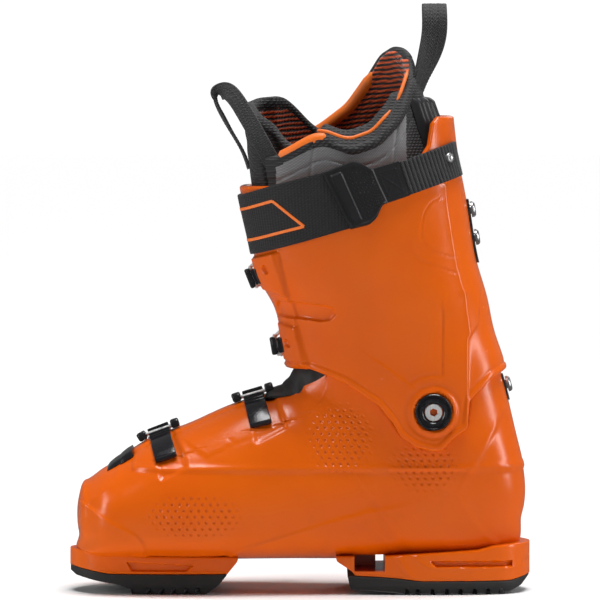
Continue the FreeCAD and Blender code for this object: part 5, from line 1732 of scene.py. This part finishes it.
def build_bellows():
    """The pleated rubber that closes the gap between the clog and the cuff."""
    turns = np.linspace(-0.17, 0.17, 160)
    start = edge_place(SHELL, turns, GASKET_FRONT)
    crown = np.linspace(0.2, 1, 300)
    crown_start = float(np.interp(CROWN_START, -SHELL.point(crown, np.zeros(300))[:, 0], crown))
    start = softened(np.where(start >= 0.999, crown_start, start), 6)
    along = start + (0.998 - start) * np.linspace(0, 1, 90)[:, None]
    place, normal, _, _ = SHELL.frame(along, np.broadcast_to(turns, along.shape))
    crest = np.exp(-(place[..., 1] / 21) ** 4)
    lift = -1.8 + (5.9 * smooth(-place[..., 0], -27.5, -18) * crest)
    lift += 0.35 * np.cos(place[..., 0] * TAU / 7.5) * smooth(-place[..., 0], -16, -8)
    outer = place + normal * lift[..., None]
    inner = place + normal * (lift - BELLOWS_WALL)[..., None]
    loops = np.concatenate([outer, inner[:, ::-1]], axis=1)
    bellows = new_object("instep_bellows", *loft(loops), RUBBER.data, "shell", "gasket_rubber",
                         ["instep_gasket"], 60)
    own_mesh(bellows)


build_bellows()


def toe_plan(points):
    """Plan position on the toe's upper side; its underside is kept out of reach."""
    return np.stack([points[..., 0], np.where(points[..., 2] > 62, points[..., 1], 400 + points[..., 2])], axis=-1)


def build_toe_seal():
    """Two overlapping lips of the seal in front of the flap."""
    chart = Chart(SHELL, toe_plan)
    lips = []
    for x0, x1, rise0, rise1, reach in ((128.0, 118.5, 0.6, 2.6, 19), (119.2, 110.0, 2.6, 3.4, 21)):
        xx, yy = np.meshgrid(np.linspace(x0, x1, 16), np.linspace(-reach, reach, 40), indexing="ij")
        share = (xx - x0) / (x1 - x0)
        lift = rise0 + (rise1 - rise0) * share + 0.5 * np.sin(share * math.pi)
        lift = lift * np.minimum(1, (1 - np.abs(yy) / reach) * 6 + 0.3) * np.minimum(1, share * 6 + 0.4)
        face = chart.place(xx, yy, lift)[0]
        under = chart.place(xx[:, ::-1], yy[:, ::-1], np.full_like(xx, 0.05))[0]
        lips.append(loft(np.concatenate([face, under], axis=1)))
    new_object("toe_seal_lips", *merge(lips), GLOSS_BLACK.data, "shell", "black_plastic", ["toe_seal"], 40)


build_toe_seal()


# ---------------------------------------------------------------- studio
CAMERA_WORLD, GLOSS_WORLD, FILL_WORLD = 1.05, 0.15, 0.03  # the background as seen, as mirrored, and as light
FLOOR_REACH = 12.0
SUN_ENERGY, SUN_SPREAD, SUN_TILT = 3.55, 34, (-3, -4, 0)
LIGHTS = [  # name, place, size and power of each lamp
    ("toe_strip", (1.5, 0.5, 0.55), (0.12, 1.2), 7.5),
    ("heel_strip", (-1.5, 0.28, 0.6), (0.14, 1.2), 8.0),
    ("back_softbox", (-0.6, -1.6, 1.0), (0.9, 0.9), 3.0),
]
LIGHT_AIM = Vector((0, 0, 0.18))
CAMERA_TARGET = Vector((0, 0.035, 0.1955))
CAMERA_DISTANCE, CAMERA_WIDTH, CAMERA_RISE = 3.4, 0.396, math.radians(3.0)
SENSOR = 36


def placed(name, data):
    thing = bpy.data.objects.new(name, data)
    bpy.context.scene.collection.objects.link(thing)
    return thing


def light_world():
    """A white background that shows at full strength but lights and mirrors only weakly."""
    world = bpy.data.worlds.new("studio")
    bpy.context.scene.world = world
    world.use_nodes = True
    tree = world.node_tree
    path = tree.nodes.new("ShaderNodeLightPath")
    total = tree.nodes.new("ShaderNodeMath")
    rays = (("Is Camera Ray", FILL_WORLD, CAMERA_WORLD), ("Is Glossy Ray", 0.0, GLOSS_WORLD))
    for (ray, low, high), socket in zip(rays, total.inputs):
        ramp = tree.nodes.new("ShaderNodeMapRange")
        tree.links.new(path.outputs[ray], ramp.inputs["Value"])
        ramp.inputs["To Min"].default_value = low
        ramp.inputs["To Max"].default_value = high
        tree.links.new(ramp.outputs[0], socket)
    shade = tree.nodes["Background"]
    shade.inputs["Color"].default_value = (1, 1, 1, 1)
    tree.links.new(total.outputs[0], shade.inputs["Strength"])


def studio():
    """Pale floor, soft sun from above, strip lights at both ends and the camera on the inner side."""
    light_world()
    mesh = bpy.data.meshes.new("floor")
    corners = [(x * FLOOR_REACH, y * FLOOR_REACH, 0) for x, y in ((-1, -1), (1, -1), (1, 1), (-1, 1))]
    mesh.from_pydata(corners, [], [(0, 1, 2, 3)])
    floor = placed("floor", mesh)
    paper = Material("floor_paper", (0.93, 0.93, 0.93), 0.7)
    paper.bump(paper.noise(300, 3), 0.00005)
    mesh.materials.append(paper.data)
    floor.visible_glossy = False
    sun = bpy.data.lights.new("soft_sun", "SUN")
    sun.energy = SUN_ENERGY
    sun.angle = math.radians(SUN_SPREAD)
    placed("soft_sun", sun).rotation_euler = [math.radians(turn) for turn in SUN_TILT]
    for name, place, size, power in LIGHTS:
        data = bpy.data.lights.new(name, "AREA")
        data.shape = "RECTANGLE"
        data.size, data.size_y = size
        data.energy = power
        light = placed(name, data)
        light.location = place
        light.rotation_euler = (LIGHT_AIM - Vector(place)).to_track_quat("-Z", "Y").to_euler()
    data = bpy.data.cameras.new("camera")
    data.sensor_width = SENSOR
    data.lens = SENSOR * CAMERA_DISTANCE / CAMERA_WIDTH
    camera = placed("camera", data)
    camera.location = CAMERA_TARGET + Vector((0, math.cos(CAMERA_RISE), math.sin(CAMERA_RISE))) * CAMERA_DISTANCE
    camera.rotation_euler = (CAMERA_TARGET - camera.location).to_track_quat("-Z", "Y").to_euler()
    bpy.context.scene.camera = camera
    bpy.context.scene.view_settings.view_transform = "Standard"


studio()
